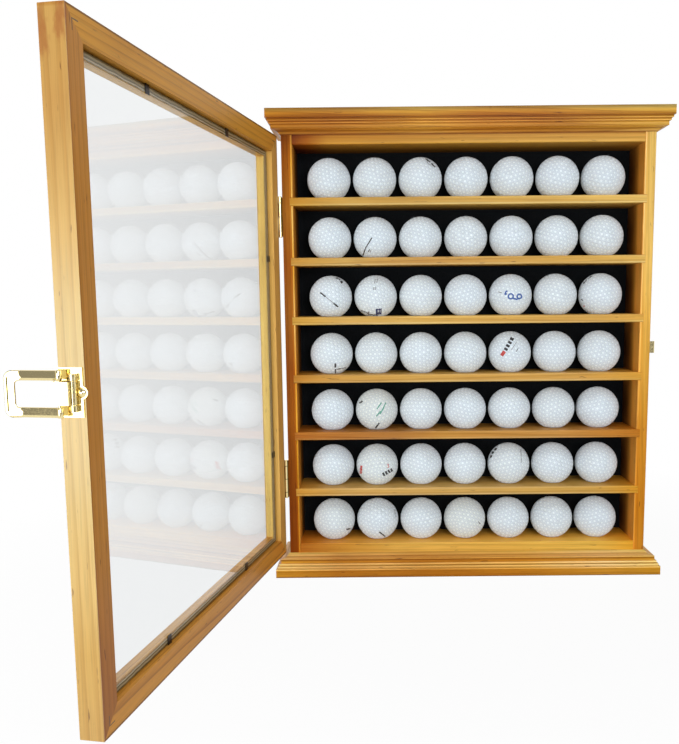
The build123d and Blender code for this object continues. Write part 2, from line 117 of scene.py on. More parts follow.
def maths(tree, operation, *values, **settings):
    made = node(tree, "ShaderNodeMath", dict(enumerate(values)), operation=operation, **settings)
    return made.outputs[0]


def vector_maths(tree, operation, *values):
    made = node(tree, "ShaderNodeVectorMath", dict(enumerate(values)), operation=operation)
    return made.outputs["Value" if operation == "LENGTH" else "Vector"]


def axes(tree, vector):
    """The X, Y and Z of a vector."""
    return node(tree, "ShaderNodeSeparateXYZ", {"Vector": vector}).outputs


def object_place(tree):
    return node(tree, "ShaderNodeTexCoord").outputs["Object"]


def principled(tree, inputs):
    return node(tree, "ShaderNodeBsdfPrincipled", inputs).outputs["BSDF"]


def finish_material(tree, shader):
    node(tree, "ShaderNodeOutputMaterial", {"Surface": shader})


# ---------------------------------------------------------------- wood


def honey_pine(name, grain, turn, pith, tilt, tone, rings, bands, gloss=0.15, knots=(),
               sheen_face=None):
    """Stained pine. grain is the way its fibres run after a turn about Z, pith how far off the
    heart of the log lies, tilt how far the fibres lean, and rings how dark the late wood is.
    Each of the bands is (axis, start, sense, stops, within): tones that follow an edge, of stain
    and of painted light and shade. The sheen_face (axis, low, high) is the side that is varnished."""
    material, tree = new_material(name)
    turned = node(tree, "ShaderNodeMapping", {
        "Vector": object_place(tree), "Rotation": (0, 0, radians(turn)),
    }).outputs["Vector"]
    leaned = node(tree, "ShaderNodeMapping", {
        "Vector": turned, "Rotation": Euler([radians(angle) for angle in tilt]), "Location": pith,
    }).outputs["Vector"]
    along = "XYZ".index(grain)

    def drawn_out(keep):
        scale = [1.0, 1.0, 1.0]
        scale[along] = keep
        return node(tree, "ShaderNodeMapping", {
            "Vector": leaned, "Scale": scale}).outputs["Vector"]

    growth = node(tree, "ShaderNodeTexWave", {
        "Vector": drawn_out(0.10), "Scale": 84.0, "Distortion": 5.0, "Detail": 3.0,
        "Detail Scale": 0.22, "Detail Roughness": 0.55,
    }, wave_type="RINGS", rings_direction=grain, wave_profile="SAW").outputs["Fac"]
    fibres = noise(tree, drawn_out(0.025), 900.0, 4.0, 0.6)
    flecks = noise(tree, drawn_out(0.11), 620.0, 2.0, 0.5)
    cloud = noise(tree, drawn_out(0.25), 26.0, 3.0, 0.55)

    def stained(red, green, blue):
        return (red * tone[0], green * tone[1], blue * tone[2], 1)

    early = stained(0.82, 0.435, 0.088)
    middle = stained(0.68, 0.32, 0.052)
    late = stained(0.68 - 0.28 * rings, 0.32 - 0.175 * rings, 0.052 - 0.032 * rings)
    wood = ramp(tree, growth, [
        (0.0, early), (0.5, early), (0.8, middle), (0.95, late), (1.0, early)])
    wood = blend_colours(tree, 0.55, wood, stained(0.74, 0.375, 0.066))
    streaks = ramp(tree, fibres, [(0.3, 0.80), (0.5, 1.0), (0.72, 1.09)])
    wood = blend_colours(tree, 0.75, wood, streaks, "MULTIPLY")
    warmth = ramp(tree, cloud, [
        (0.3, (0.86, 0.80, 0.70, 1)), (0.52, (1, 1, 1, 1)), (0.75, (1.06, 1.1, 1.2, 1))])
    wood = blend_colours(tree, 0.8, wood, warmth, "MULTIPLY")
    pitch = stretch(tree, flecks, 0.69, 0.76)
    wood = blend_colours(tree, pitch, wood, stained(0.30, 0.125, 0.03))
    for centre, reach in knots:
        off = vector_maths(tree, "SUBTRACT", turned, centre)
        shrink = [1 / reach, 1 / reach, 1 / reach]
        shrink[along] *= 0.42
        rounded = vector_maths(tree, "MULTIPLY", off, shrink)
        away = vector_maths(tree, "LENGTH", rounded)
        rough = maths(tree, "ADD", away, noise(tree, rounded, 2.2))
        heart = stretch(tree, rough, 1.45, 0.85, 0.0, 0.8)
        wood = blend_colours(tree, heart, wood, stained(0.56, 0.20, 0.035))
    sides = axes(tree, turned)
    for axis, start, sense, stops, within in bands:
        reach = stops[-1][0] * MM
        along_band = stretch(tree, sides[axis], start, start + sense * reach)
        tones = ramp(tree, along_band, [
            (far * MM / reach, colour + (1,)) for far, colour in stops])
        amount = 1.0
        if within:
            other, low, high = within
            amount = stretch(tree, sides[other], low, high)
        wood = blend_colours(tree, amount, wood, tones, "MULTIPLY")

    bump = node(tree, "ShaderNodeBump", {
        "Height": maths(tree, "ADD", growth, fibres), "Strength": 0.12, "Distance": 0.25 * MM})
    sheen = stretch(tree, fibres, 0.2, 0.8, 0.34, 0.46)
    skin = node(tree, "ShaderNodeBsdfPrincipled", {
        "Base Color": wood, "Roughness": sheen, "Normal": bump.outputs["Normal"],
        "Specular IOR Level": gloss, "Coat Roughness": 0.26,
    })
    if sheen_face:
        axis, low, high = sheen_face
        tree.links.new(stretch(tree, sides[axis], low, high), skin.inputs["Coat Weight"])
    finish_material(tree, skin.outputs["BSDF"])
    return material


# ---------------------------------------------------------------- other finishes


def ball_cover():
    """Glossy white cover. The attribute 'age' yellows an older ball, and a second attribute paints
    shade:
    it greys the edges of the dimples, and the land between them less."""
    material, tree = new_material("ball_cover")
    age = node(tree, "ShaderNodeAttribute", attribute_name="age").outputs["Fac"]
    grime = noise(tree, object_place(tree), 95.0, 5.0, 0.65)
    tint = blend_colours(tree, age, (0.88, 0.96, 1.0, 1), (0.86, 0.90, 0.84, 1))
    soil = stretch(tree, grime, 0.52, 0.75, 0.0, 0.22)
    tint = blend_colours(tree, soil, tint, (0.60, 0.58, 0.54, 1))
    dimple_shade = node(tree, "ShaderNodeAttribute", attribute_name="dimple_shade").outputs["Fac"]
    shaded = stretch(tree, dimple_shade, 0.0, 1.0, 0.0, 0.6)
    tint = blend_colours(tree, shaded, tint, (0.40, 0.47, 0.60, 1))
    dull = stretch(tree, grime, 0.3, 0.7, 0.16, 0.30)
    finish_material(tree, principled(tree, {
        "Base Color": tint, "Diffuse Roughness": 1.0, "Roughness": dull, "IOR": 1.5,
        "Coat Weight": 0.8, "Coat Roughness": 0.04, "Sheen Weight": 0.3, "Sheen Roughness": 0.5,
    }))
    return material


def ink(name, colour):
    """Worn printing ink on a ball."""
    material, tree = new_material(name)
    wear = noise(tree, object_place(tree), 1400.0, 3.0, 0.7)
    patchy = stretch(tree, wear, 0.58, 0.70, 0.0, 0.25)
    tint = blend_colours(tree, patchy, colour, (0.72, 0.73, 0.75, 1))
    finish_material(tree, principled(tree, {"Base Color": tint, "Roughness": 0.35}))
    return material


def barrel_painted_shade(tree, place, tint, axis, radius, joints):
    """Painted shade: darkens upright barrels at both sides, and where their knuckles meet."""
    off = vector_maths(tree, "ABSOLUTE", vector_maths(tree, "SUBTRACT", place, axis))
    level = vector_maths(tree, "MULTIPLY", off, (1, 1, 0))
    away = vector_maths(tree, "LENGTH", level)
    on_barrel = stretch(tree, away, 1.2 * radius, 1.05 * radius, 0.0, 0.9)
    at_side = stretch(tree, axes(tree, off)["X"], 0.35 * radius, 0.7 * radius)
    on_side = maths(tree, "MULTIPLY", on_barrel, at_side)
    tint = blend_colours(tree, on_side, tint, (0.14, 0.09, 0.02, 1))
    height = axes(tree, place)["Z"]
    for joint in joints:
        past = maths(tree, "ABSOLUTE", maths(tree, "SUBTRACT", height, joint))
        at_joint = stretch(tree, past, 0.6 * MM, 0.2 * MM, 0.0, 0.7)
        tint = blend_colours(tree, at_joint, tint, (0.2, 0.14, 0.04, 1))
    return tint


def metal(name, colour, roughness, scratch, barrels=None):
    """Plated or bare metal with fine handling marks in its gloss, and with painted shade on
    barrels (axis, radius, joints between knuckles) where it has them."""
    material, tree = new_material(name)
    place = object_place(tree)
    marks = noise(tree, place, 700.0, 4.0, 0.6)
    tarnish = stretch(tree, marks, 0.35, 0.75, 0.0, scratch)
    dark = tuple(0.55 * value for value in colour[:3]) + (1,)
    tint = blend_colours(tree, tarnish, colour, dark)
    if barrels:
        tint = barrel_painted_shade(tree, place, tint, *barrels)
    gloss = stretch(tree, marks, 0.3, 0.7, roughness, roughness + 0.10)
    finish_material(tree, principled(tree, {
        "Base Color": tint, "Metallic": 1.0, "Roughness": gloss}))
    return material


def black_board():
    material, tree = new_material("black_board")
    nap = noise(tree, object_place(tree), 1500.0, 3.0, 0.7)
    tint = ramp(tree, nap, [(0.35, (0.004, 0.005, 0.006, 1)), (0.7, (0.011, 0.013, 0.016, 1))])
    bump = node(tree, "ShaderNodeBump", {"Height": nap, "Strength": 0.3, "Distance": 0.1 * MM})
    finish_material(tree, principled(tree, {
        "Base Color": tint, "Roughness": 0.85, "Specular IOR Level": 0.08,
        "Normal": bump.outputs["Normal"],
    }))
    return material


def clear_sheet(centre, half_size, bedded):
    """Clear sheet; the strip of it that lies on the frame's ledge is grey and streaked, with
    painted shadow by the frame's edge and painted highlight lines.
    """
    material, tree = new_material("clear_sheet")
    place = object_place(tree)
    turned = node(tree, "ShaderNodeMapping", {
        "Vector": place, "Rotation": (0, 0, radians(DOOR_OPEN)), "Location": -centre,
    }).outputs["Vector"]
    sides = axes(tree, vector_maths(tree, "ABSOLUTE", turned))
    ragged = stretch(tree, noise(tree, place, 120.0, 3.0, 0.6), 0.3, 0.7, -0.07, 0.07)
    past_side = stretch(tree, sides["X"], half_size[0] - 1.3 * bedded, half_size[0])
    past_end = stretch(tree, sides["Z"], half_size[1] - bedded, half_size[1])
    into_bed = maths(tree, "MAXIMUM", past_side, past_end)
    wavy = maths(tree, "ADD", into_bed, ragged)
    on_ledge = stretch(tree, into_bed, 0.0, 0.04)
    # Painted shadow at the frame's edge and painted highlight lines, with grey between
    streaks = ramp(tree, wavy, [
        (0.0, (0.10, 0.07, 0.03, 1)), (0.14, (0.62, 0.54, 0.36, 1)),
        (0.24, (0.50, 0.43, 0.28, 1)), (0.34, (0.12, 0.09, 0.04, 1)),
        (0.52, (0.30, 0.26, 0.15, 1)), (0.66, (0.42, 0.37, 0.24, 1)),
        (0.80, (0.20, 0.16, 0.08, 1)), (1.0, (0.09, 0.06, 0.02, 1))])
    painted_ledge = principled(tree, {
        "Base Color": streaks, "Roughness": 0.25, "Specular IOR Level": 0.4})
    gloss = stretch(tree, noise(tree, place, 30.0, 2.0, 0.5), 0.3, 0.7, 0.0, 0.03)
    sheet = principled(tree, {
        "Base Color": (0.87, 0.885, 0.89, 1), "Roughness": gloss, "IOR": 1.35,
        "Transmission Weight": 1.0,
    })
    open_air = node(tree, "ShaderNodeBsdfTransparent", {"Color": (0.93, 0.95, 0.94, 1)})
    shadow = node(tree, "ShaderNodeLightPath").outputs["Is Shadow Ray"]
    clear = node(tree, "ShaderNodeMixShader", {
        0: shadow, 1: sheet, 2: open_air.outputs["BSDF"]})
    both = node(tree, "ShaderNodeMixShader", {
        0: on_ledge, 1: clear.outputs["Shader"], 2: painted_ledge})
    finish_material(tree, both.outputs["Shader"])
    return material


def dress(names, material):
    """Gives CAD nodes a material in place of their plain ones."""
    for name in names:
        for slot in nodes[name].material_slots:
            slot.material = material


# ---------------------------------------------------------------- wood of each piece
# name: (grain, pith offset, lean of the fibres, tone, ring contrast)
CASE_WOOD = {
    "side_panel_left": ("Z", (0.215, 0.05, 0), (1.2, 0.6, 0), (1, 0.98, 0.92), 0.9),
    "side_panel_right": ("Z", (-0.135, 0.06, 0), (-0.8, 1, 0), (1.14, 1.18, 1.25), 0.5),
    "top_board": ("X", (0, 0.07, -0.39), (0, 0.5, 0.8), (1.02, 0.98, 0.95), 0.5),
    "bottom_board": ("X", (0.3, 0.06, 0.01), (0, -0.4, 0.6), (1.12, 1.12, 1), 0.6),
    "shelf_1": ("X", (0.9, 0.08, -0.05), (0, 0.7, 0.4), (1, 1.06, 1.2), 0.4),
    "shelf_2": ("X", (1.7, 0.07, -0.11), (0, -0.5, 0.7), (0.92, 0.9, 0.92), 0.7),
    "shelf_3": ("X", (2.6, 0.06, -0.17), (0, 0.9, -0.3), (1.05, 1.1, 1.2), 0.5),
    "shelf_4": ("X", (3.3, 0.09, -0.22), (0, -0.7, 0.5), (1.06, 1.12, 1.25), 0.5),
    "shelf_5": ("X", (4.2, 0.07, -0.28), (0, 0.5, -0.6), (0.98, 1, 1.08), 0.8),
    "shelf_6": ("X", (5.1, 0.08, -0.34), (0, -0.6, 0.3), (1.08, 1.14, 1.25), 0.4),
    "base_moulding_front": ("X", (0.4, 0.08, 0.03), (0, 1.2, 0.8), (0.98, 1, 0.72), 1),
    "crown_moulding_front": ("X", (1.4, 0.10, -0.40), (0, -1.3, 0.9), (0.93, 0.86, 0.52), 1.1),
    "base_board": ("X", (2.1, 0.06, 0.04), (0, 0.6, 0.4), (0.9, 0.85, 0.8), 0.6),
    "crown_board": ("X", (3.1, 0.06, -0.40), (0, 0.5, 0.6), (0.9, 0.85, 0.8), 0.7),
    "base_moulding_left": ("Y", (0.24, 0, 0.03), (0.9, 0, 0.7), (0.98, 1, 0.72), 0.9),
    "base_moulding_right": ("Y", (-0.15, 0.3, 0.03), (0.8, 0, -0.6), (0.98, 1, 0.72), 0.8),
    "crown_moulding_left": ("Y", (0.23, 0.6, -0.40), (-0.9, 0, 0.8), (0.93, 0.86, 0.52), 0.9),
    "crown_moulding_right": ("Y", (-0.14, 0.9, -0.40), (1, 0, 0.5), (0.93, 0.86, 0.52), 0.8),
}

# Painted light and shade follow a moulding's profile: painted shade in its grooves and
# painted highlights on its arrises. mm from the crown's top or from the base's foot, and tone
CROWN_PAINTED_LIGHT = [
    (0, (0.6, 0.7, 1)), (1.9, (0.72, 0.86, 1.5)), (3, (0.95, 1.05, 1.4)),
    (4.6, (1.12, 1.12, 1.05)), (6.4, (0.88, 0.74, 0.58)), (8.2, (0.66, 0.48, 0.24)),
    (9.9, (0.52, 0.35, 0.06)), (10.5, (0.85, 0.7, 0.3)), (10.8, (1.35, 1.4, 2)),
    (11.1, (1.25, 1.25, 1.7)), (11.4, (0.55, 0.36, 0.06)), (12.3, (0.7, 0.52, 0.2)),
    (12.9, (1.2, 1.15, 1.3)), (13.4, (1.45, 1.55, 2.4)), (13.7, (0.75, 0.6, 0.25)),
    (14.4, (0.76, 0.62, 0.3)), (15.3, (1.2, 1.16, 1.3)), (16.4, (1, 0.95, 1.1)),
    (17.4, (0.72, 0.6, 0.35)), (17.8, (1.2, 1.15, 1.1)), (18.6, (1, 0.94, 1)),
    (19.4, (0.55, 0.44, 0.5)), (20.2, (0.98, 0.92, 1)), (21, (0.95, 0.95, 1.7)),
    (21.6, (0.6, 0.5, 0.7)), (22.1, (0.5, 0.34, 0.3)),
]
BASE_PAINTED_LIGHT = [
    (0, (0.4, 0.34, 0.25)), (0.9, (0.6, 0.48, 0.26)), (1.3, (0.86, 0.66, 0.26)),
    (6.8, (0.86, 0.66, 0.24)), (7.4, (1.15, 1.05, 0.9)), (8.1, (1.9, 2.2, 4.2)),
    (8.5, (1.1, 1.2, 1.7)), (9.3, (1.05, 1.15, 2.2)), (10.5, (1.75, 2.3, 5.2)),
    (11.1, (0.95, 1, 1.3)), (11.5, (0.85, 0.85, 1)), (12.3, (1.4, 1.7, 3.4)),
    (13.1, (1.8, 2.3, 5.4)), (13.6, (1.1, 1.05, 1.1)), (14.1, (1, 0.88, 0.5)),
    (15.4, (0.95, 0.78, 0.4)), (16.4, (0.5, 0.32, 0.08)), (16.9, (0.5, 0.32, 0.08)),
    (17.6, (1.5, 1.65, 2.5)), (18.2, (1.25, 1.3, 2.5)), (19.1, (0.92, 0.88, 1.3)),
    (20, (1.25, 1.4, 2.5)), (21.5, (1.1, 1.3, 1.9)), (22.1, (1.2, 1.4, 1.7)),
]
# Painted highlights on the two arrises of a shelf's front: mm from its top
SHELF_PAINTED_HIGHLIGHTS = [
    (0, (1.22, 1.46, 2.9)), (0.5, (1.16, 1.34, 2.3)), (1.2, (1, 1.02, 1.05)),
    (2.4, (0.95, 0.92, 0.85)), (5.6, (0.94, 0.92, 0.88)), (6.3, (1, 1.1, 1.5)),
    (7.2, (1.18, 1.5, 2.7)),
]
# Painted shade: the front of the top board lies in the shade of the crown, with a painted
# highlight on its lower arris
CEILING_PAINTED_SHADE = [
    (0, (0.46, 0.32, 0.16)), (0.6, (0.55, 0.42, 0.3)), (1.4, (0.86, 0.76, 0.64)),
    (3.4, (0.98, 0.95, 0.9)), (6, (0.96, 0.94, 0.9)), (8.6, (1.15, 1.24, 1.5)),
]
# Painted light and shade: the inside of a side panel is lit near its front and goes dark towards
# the back, as in the shadow of the balls: mm from its front
SIDE_DEPTH_PAINTED_SHADE = [
    (0, (1, 0.84, 0.66)), (1.5, (0.86, 0.69, 0.44)), (5, (1, 0.84, 0.66)),
    (15, (1.05, 0.88, 0.66)), (22, (0.58, 0.46, 0.35)), (30, (0.28, 0.2, 0.14)),
    (44, (0.15, 0.11, 0.1)),
]
# The tone changes along each piece, in part uneven stain and in part painted shade, which darkens
# most left ends beside the open door: mm from its left or lower end, tone
STAIN_AND_SHADE_ALONG = {
    "bottom_board": [
        (0, (0.7, 0.46, 0.22)), (50, (0.88, 0.84, 0.7)), (95, (1.04, 1.2, 1.4)),
        (160, (1, 1.12, 1.2)), (300, (1.02, 1.2, 1.15)), (338, (1.04, 0.98, 0.4)),
    ],
    "top_board": [
        (0, (0.34, 0.14, 0.02)), (14, (0.6, 0.36, 0.1)), (34, (0.86, 0.8, 0.52)),
        (150, (0.84, 0.86, 0.65)), (338, (1, 1.12, 1.15)),
    ],
    "shelf_1": [
        (0, (0.96, 0.88, 0.55)), (50, (0.98, 1.1, 1.5)), (170, (0.95, 1.07, 1.4)),
        (300, (0.94, 1, 1)), (344, (1, 0.82, 0.22)),
    ],
    "shelf_2": [
        (0, (0.72, 0.48, 0.25)), (100, (0.76, 0.66, 0.75)), (150, (0.92, 0.9, 0.88)),
        (260, (0.9, 0.86, 0.95)), (344, (0.86, 0.6, 0.2)),
    ],
    "shelf_3": [
        (0, (0.7, 0.56, 0.28)), (50, (0.86, 0.88, 0.95)), (120, (0.92, 1, 1.12)),
        (280, (0.9, 0.92, 0.98)), (344, (0.98, 0.9, 0.5)),
    ],
    "shelf_4": [
        (0, (0.94, 0.98, 0.68)), (50, (0.95, 1.1, 1.4)), (170, (1.02, 1.13, 1.2)),
        (300, (0.93, 1, 1.08)), (344, (1.04, 1.07, 0.9)),
    ],
    "shelf_5": [
        (0, (0.87, 0.84, 0.6)), (50, (0.9, 1.05, 1.35)), (130, (0.84, 0.84, 0.92)),
        (250, (0.97, 1.05, 1)), (344, (1.14, 1.36, 1.55)),
    ],
    "shelf_6": [
        (0, (0.72, 0.62, 0.24)), (60, (0.86, 0.95, 1.05)), (200, (0.9, 1, 1.05)),
        (344, (1.05, 1.22, 1.4)),
    ],
    "crown_moulding_front": [
        (0, (0.9, 0.8, 0.6)), (60, (0.78, 0.66, 0.6)), (150, (1.02, 1.12, 1.2)),
        (200, (0.88, 0.8, 0.68)), (260, (0.84, 0.76, 0.62)), (385, (1.14, 1.45, 2)),
    ],
    "base_moulding_front": [
        (0, (1.25, 1.45, 2)), (60, (0.8, 0.72, 0.8)), (110, (0.83, 0.76, 0.8)),
        (150, (0.75, 0.64, 0.55)), (250, (0.9, 0.85, 0.78)), (330, (1, 1.1, 1.7)),
        (385, (1.05, 1.2, 1.4)),
    ],
    "side_panel_right": [
        (0, (0.78, 0.58, 0.18)), (45, (0.74, 0.5, 0.08)), (128, (0.87, 0.7, 0.24)),
        (180, (1, 0.98, 0.6)), (228, (1.05, 1.08, 0.82)), (280, (1.12, 1.33, 1.5)),
        (411, (1.1, 1.38, 1.75)),
    ],
    "side_panel_left": [
        (0, (0.74, 0.48, 0.08)), (46, (0.64, 0.42, 0.06)), (90, (0.8, 0.62, 0.08)),
        (136, (1.04, 0.9, 0.26)), (186, (0.9, 0.68, 0.2)), (236, (1.04, 1.04, 0.8)),
        (286, (0.98, 0.82, 0.2)), (336, (1.1, 1.2, 0.9)), (386, (0.95, 0.8, 0.22)),
        (411, (0.72, 0.54, 0.24)),
    ],
}


# The front of a side panel, with a painted highlight on its inner arris; the left panel's is
# stained deep outside. The left panel's run is mm from its outer side, the right panel's is mm
# from its inner side
LEFT_FRONT_STAIN_AND_HIGHLIGHT = [
    (0, (0.48, 0.3, 0.14)), (5.5, (0.52, 0.34, 0.17)), (8, (0.68, 0.52, 0.34)),
    (8.7, (0.72, 0.55, 0.36)), (9.1, (1.4, 2, 5)), (9.6, (1.4, 2, 5)),
]
RIGHT_FRONT_HIGHLIGHT = [(0, (1.4, 1.65, 3)), (1.2, (1.3, 1.5, 2.6)), (1.7, (1, 1, 1))]
# Painted light and shade: the top of the bottom board and the undersides go darker towards the
# back
BOTTOM_DEPTH_SHADE = [(0, (1.3, 1.24, 1.2)), (26, (1.2, 1.1, 1)), (50, (0.8, 0.7, 0.6))]
UNDERSIDE_DEPTH_SHADE = [(0, (0.85, 0.8, 0.7)), (49, (0.4, 0.32, 0.25))]


def bands_of(name):
    """The tones that follow the edges of one piece of the case: stain, painted light and painted
    shade.
    """
    low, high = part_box(name)
    front = ("Y", low[1] + 0.6 * MM, low[1] + 0.2 * MM)
    if name.startswith("side_panel"):
        left = name.endswith("left")
        outside, inside = (low[0], high[0]) if left else (high[0], low[0])
        inner_half = ("X", (outside + inside) / 2, inside)
        return [
            ("Z", low[2], 1, STAIN_AND_SHADE_ALONG[name], front),
            ("Y", low[1] + 1.0 * MM, 1, SIDE_DEPTH_PAINTED_SHADE, inner_half),
            ("X", outside, 1, LEFT_FRONT_STAIN_AND_HIGHLIGHT, front) if left else ("X", inside, 1, RIGHT_FRONT_HIGHLIGHT, front),
        ]
    bands = []
    if name in STAIN_AND_SHADE_ALONG:
        bands.append(("X", low[0], 1, STAIN_AND_SHADE_ALONG[name], None))
    if name.startswith("crown_moulding"):
        bands.append(("Z", high[2], -1, CROWN_PAINTED_LIGHT, None))
    if name.startswith("base_moulding"):
        bands.append(("Z", low[2], 1, BASE_PAINTED_LIGHT, None))
    if name.startswith("shelf_"):
        bands.append(("Z", high[2], -1, SHELF_PAINTED_HIGHLIGHTS, front))
    if name == "top_board":
        bands.append(("Z", high[2], -1, CEILING_PAINTED_SHADE, front))
    if name == "bottom_board":
        on_top = ("Z", high[2] - 0.6 * MM, high[2] - 0.1 * MM)
        bands.append(("Y", low[1], 1, BOTTOM_DEPTH_SHADE, on_top))
    if name == "top_board" or name.startswith("shelf_"):
        under = ("Z", low[2] + 0.6 * MM, low[2] + 0.1 * MM)
        bands.append(("Y", low[1], 1, UNDERSIDE_DEPTH_SHADE, under))
    return bands


for name, (grain, pith, tilt, tone, rings) in CASE_WOOD.items():
    # The left panel's front stands in the shade of the door, so it has less sheen
    dress([name], honey_pine("pine_" + name, grain, 0.0, pith, tilt, tone, rings, bands_of(name),
                             gloss=0.09 if name == "side_panel_left" else 0.15))

# The door's members are turned with it, so their fibres follow the frame
unturn = Matrix.Rotation(radians(DOOR_OPEN), 3, "Z")


def closed_box(name):
    """The low and high corners that a piece of the door has when the door is shut."""
    places = [unturn @ vertex.co for vertex in nodes[name].data.vertices]
    return [Vector([pick(place[axis] for place in places) for axis in range(3)])
            for pick in (min, max)]


pane_low, pane_high = closed_box("door_pane")
# Painted light: the lip that holds the pane is painted paler than the faces of the frame
ON_LIP = ("Y", pane_low.y + 0.3 * MM, pane_low.y)
PLAIN = (1, 1, 1)
# Painted shade darkens the outer arris of the frame's inner face
ARRIS_PAINTED_SHADE = [(0, (0.34, 0.27, 0.24)), (0.9, (0.42, 0.35, 0.32)), (1.5, PLAIN)]
# name: (grain, pith offset, lean of the fibres, tone, ring contrast, painted light on the lip)
DOOR_WOOD = {
    "door_rail_top": (
        "X", (0.5, 0.22, -0.37), (0, 0.9, 0.5), (1, 0.92, 0.68), 0.9, (1.15, 1.45, 2.6)),
    "door_rail_bottom": (
        "X", (1.5, 0.25, -0.06), (0, -1.1, 0.6), (0.98, 0.84, 0.66), 1.8, (1, 1.15, 1.5)),
    "door_stile_hinge": (
        "Z", (0.02, 0.24, 0.4), (0.6, 0.5, 0), (1.08, 1.22, 1.6), 0.8, (1.22, 1.55, 2)),
}
for name, (grain, pith, tilt, tone, rings, lip) in DOOR_WOOD.items():
    low, high = closed_box(name)
    sight_edge, outer_edge = {
        "door_rail_top": (("Z", low.z, 1), ("Z", high.z, -1)),
        "door_rail_bottom": (("Z", high.z, -1), ("Z", low.z, 1)),
        "door_stile_hinge": (("X", high.x, -1), ("X", low.x, 1)),
    }[name]
    lip_painted_light = [(0, lip), (5.4, lip), (5.8, PLAIN), (6, PLAIN)]
    on_inner_face = ("Y", high.y - 1.2 * MM, high.y - 0.8 * MM)
    dress([name], honey_pine("pine_" + name, grain, DOOR_OPEN, pith, tilt, tone, rings, [
        sight_edge + (lip_painted_light, ON_LIP), outer_edge + (ARRIS_PAINTED_SHADE, on_inner_face)]))

# The free stile shows its varnished edge, knotty at the top, with a painted sheen along the edge
# and painted shade on its inner face
low, high = closed_box("door_stile_free")
knots = [((high.x, low.y + 2.0 * MM, high.z - 19 * MM), 4.8 * MM),
         ((high.x, low.y + 1.5 * MM, high.z - 10 * MM), 4.4 * MM),
         ((high.x, high.y - 3.5 * MM, high.z - 12 * MM), 4.2 * MM),
         ((high.x, high.y - 2.0 * MM, high.z - 5 * MM), 4.0 * MM)]
# Painted shade: the inner face is darker than the edge, with a darker line at the arris between
# them
inner_face_painted_shade = [
    (0, PLAIN), (0.25, PLAIN), (0.5, (0.78, 0.5, 0.26)), (1.3, (0.8, 0.52, 0.3)),
    (2, (1, 0.74, 0.52)), (22, (1, 0.74, 0.52)),
]
top_end = [(0, (0.86, 0.7, 0.5)), (1.2, (0.9, 0.78, 0.6)), (2.4, PLAIN)]
low_end = [(0, (0.72, 0.6, 0.56)), (45, (0.78, 0.66, 0.62)), (120, PLAIN)]
# Painted sheen along the middle of the edge, mm from its foot
edge_painted_sheen = [
    (0, PLAIN), (52, (1.05, 1.08, 1)), (96, (1.18, 1.34, 1.65)), (151, (1.05, 1.25, 1.5)),
    (239, (1, 1.18, 1.28)), (294, (1.08, 1.15, 1.3)), (360, (0.9, 0.83, 0.8)),
    (400, (0.95, 0.92, 0.9)),
]
on_inner_face = ("Y", high.y - 0.8 * MM, high.y - 0.2 * MM)
on_edge_face = ("X", high.x - 0.5 * MM, high.x - 0.2 * MM)
dress(["door_stile_free"], honey_pine(
    "pine_door_stile_free", "Z", DOOR_OPEN, (-0.28, 0.27, 0.1), (0.5, 0.4, 0),
    (0.80, 0.90, 1.22), 0.35, [
        ("X", high.x, -1, inner_face_painted_shade, None), ("Z", high.z, -1, top_end, None),
        ("Z", low.z, 1, low_end, on_inner_face), ("Z", low.z, 1, edge_painted_sheen, on_edge_face),
    ], knots=knots, sheen_face=("X", high.x - 0.6 * MM, high.x - 0.3 * MM)))

PANE_BED = 4.8 * MM
pane_half = (pane_high - pane_low) / 2
dress(["back_panel"], black_board())
dress(["door_pane"], clear_sheet(
    (pane_low + pane_high) / 2, (pane_half.x, pane_half.z), PANE_BED))
BRASS = ((0.90, 0.76, 0.40, 1), 0.07, 0.22)
brass = metal("polished_brass", *BRASS)
dress([name for name in nodes if name.startswith(("latch_", "strike_", "hinge_screws"))], brass)
BARREL_RADIUS = 2.15 * MM
KNUCKLE_JOINTS = [level * MM for level in (85.6, 98.9, 112.1, 343.0, 356.3, 369.5)]
# The hinge brass paints shade on the sides of its barrels and where its knuckles meet
dress([name for name in nodes if name.startswith(("hinge_leaf", "hinge_pin"))], metal(
    "hinge_brass", *BRASS, barrels=(joint_place("door_swing"), BARREL_RADIUS, KNUCKLE_JOINTS)))
dress(["mitre_nails"], metal("nail_steel", (0.12, 0.10, 0.07, 1), 0.40, 0.6))
dress(["glazing_points"], metal("blued_steel", (0.035, 0.035, 0.04, 1), 0.30, 0.4))


# ---------------------------------------------------------------- shapes


def as_mesh(name, shape):
    mesh = bpy.data.meshes.new(name)
    shape.to_mesh(mesh)
    shape.free()
    return mesh


def as_object(name, data):
    made = bpy.data.objects.new(name, data)
    bpy.context.collection.objects.link(made)
    return made


def add_piece(name, shape, materials, body, stands_for):
    piece = as_object(name, as_mesh(name, shape))
    for material in materials:
        piece.data.materials.append(material)
    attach(piece, body)
    if stands_for:
        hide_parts(stands_for)


def merge_into(whole, shape):
    mesh = as_mesh("part", shape)
    whole.from_mesh(mesh)
    bpy.data.meshes.remove(mesh)


def slice_at(shape, place, way):
    """Cuts every face of a shape that crosses a plane."""
    bmesh.ops.bisect_plane(shape, geom=shape.verts[:] + shape.edges[:] + shape.faces[:],
                           plane_co=place, plane_no=way)


def cut_with(shape, cutter):
    """The first shape less the second, as a new bmesh."""
    whole = as_object("whole", as_mesh("whole", shape))
    tool = as_object("tool", as_mesh("tool", cutter))
    cut = whole.modifiers.new("cut", "BOOLEAN")
    cut.operation = "DIFFERENCE"
    cut.solver = "EXACT"
    cut.object = tool
    bpy.context.view_layer.update()
    finished = bpy.data.meshes.new_from_object(
        whole.evaluated_get(bpy.context.evaluated_depsgraph_get()))
    result = bmesh.new()
    result.from_mesh(finished)
    bpy.data.meshes.remove(finished)
    for holder in (whole, tool):
        mesh = holder.data
        bpy.data.objects.remove(holder)
        bpy.data.meshes.remove(mesh)
    return result


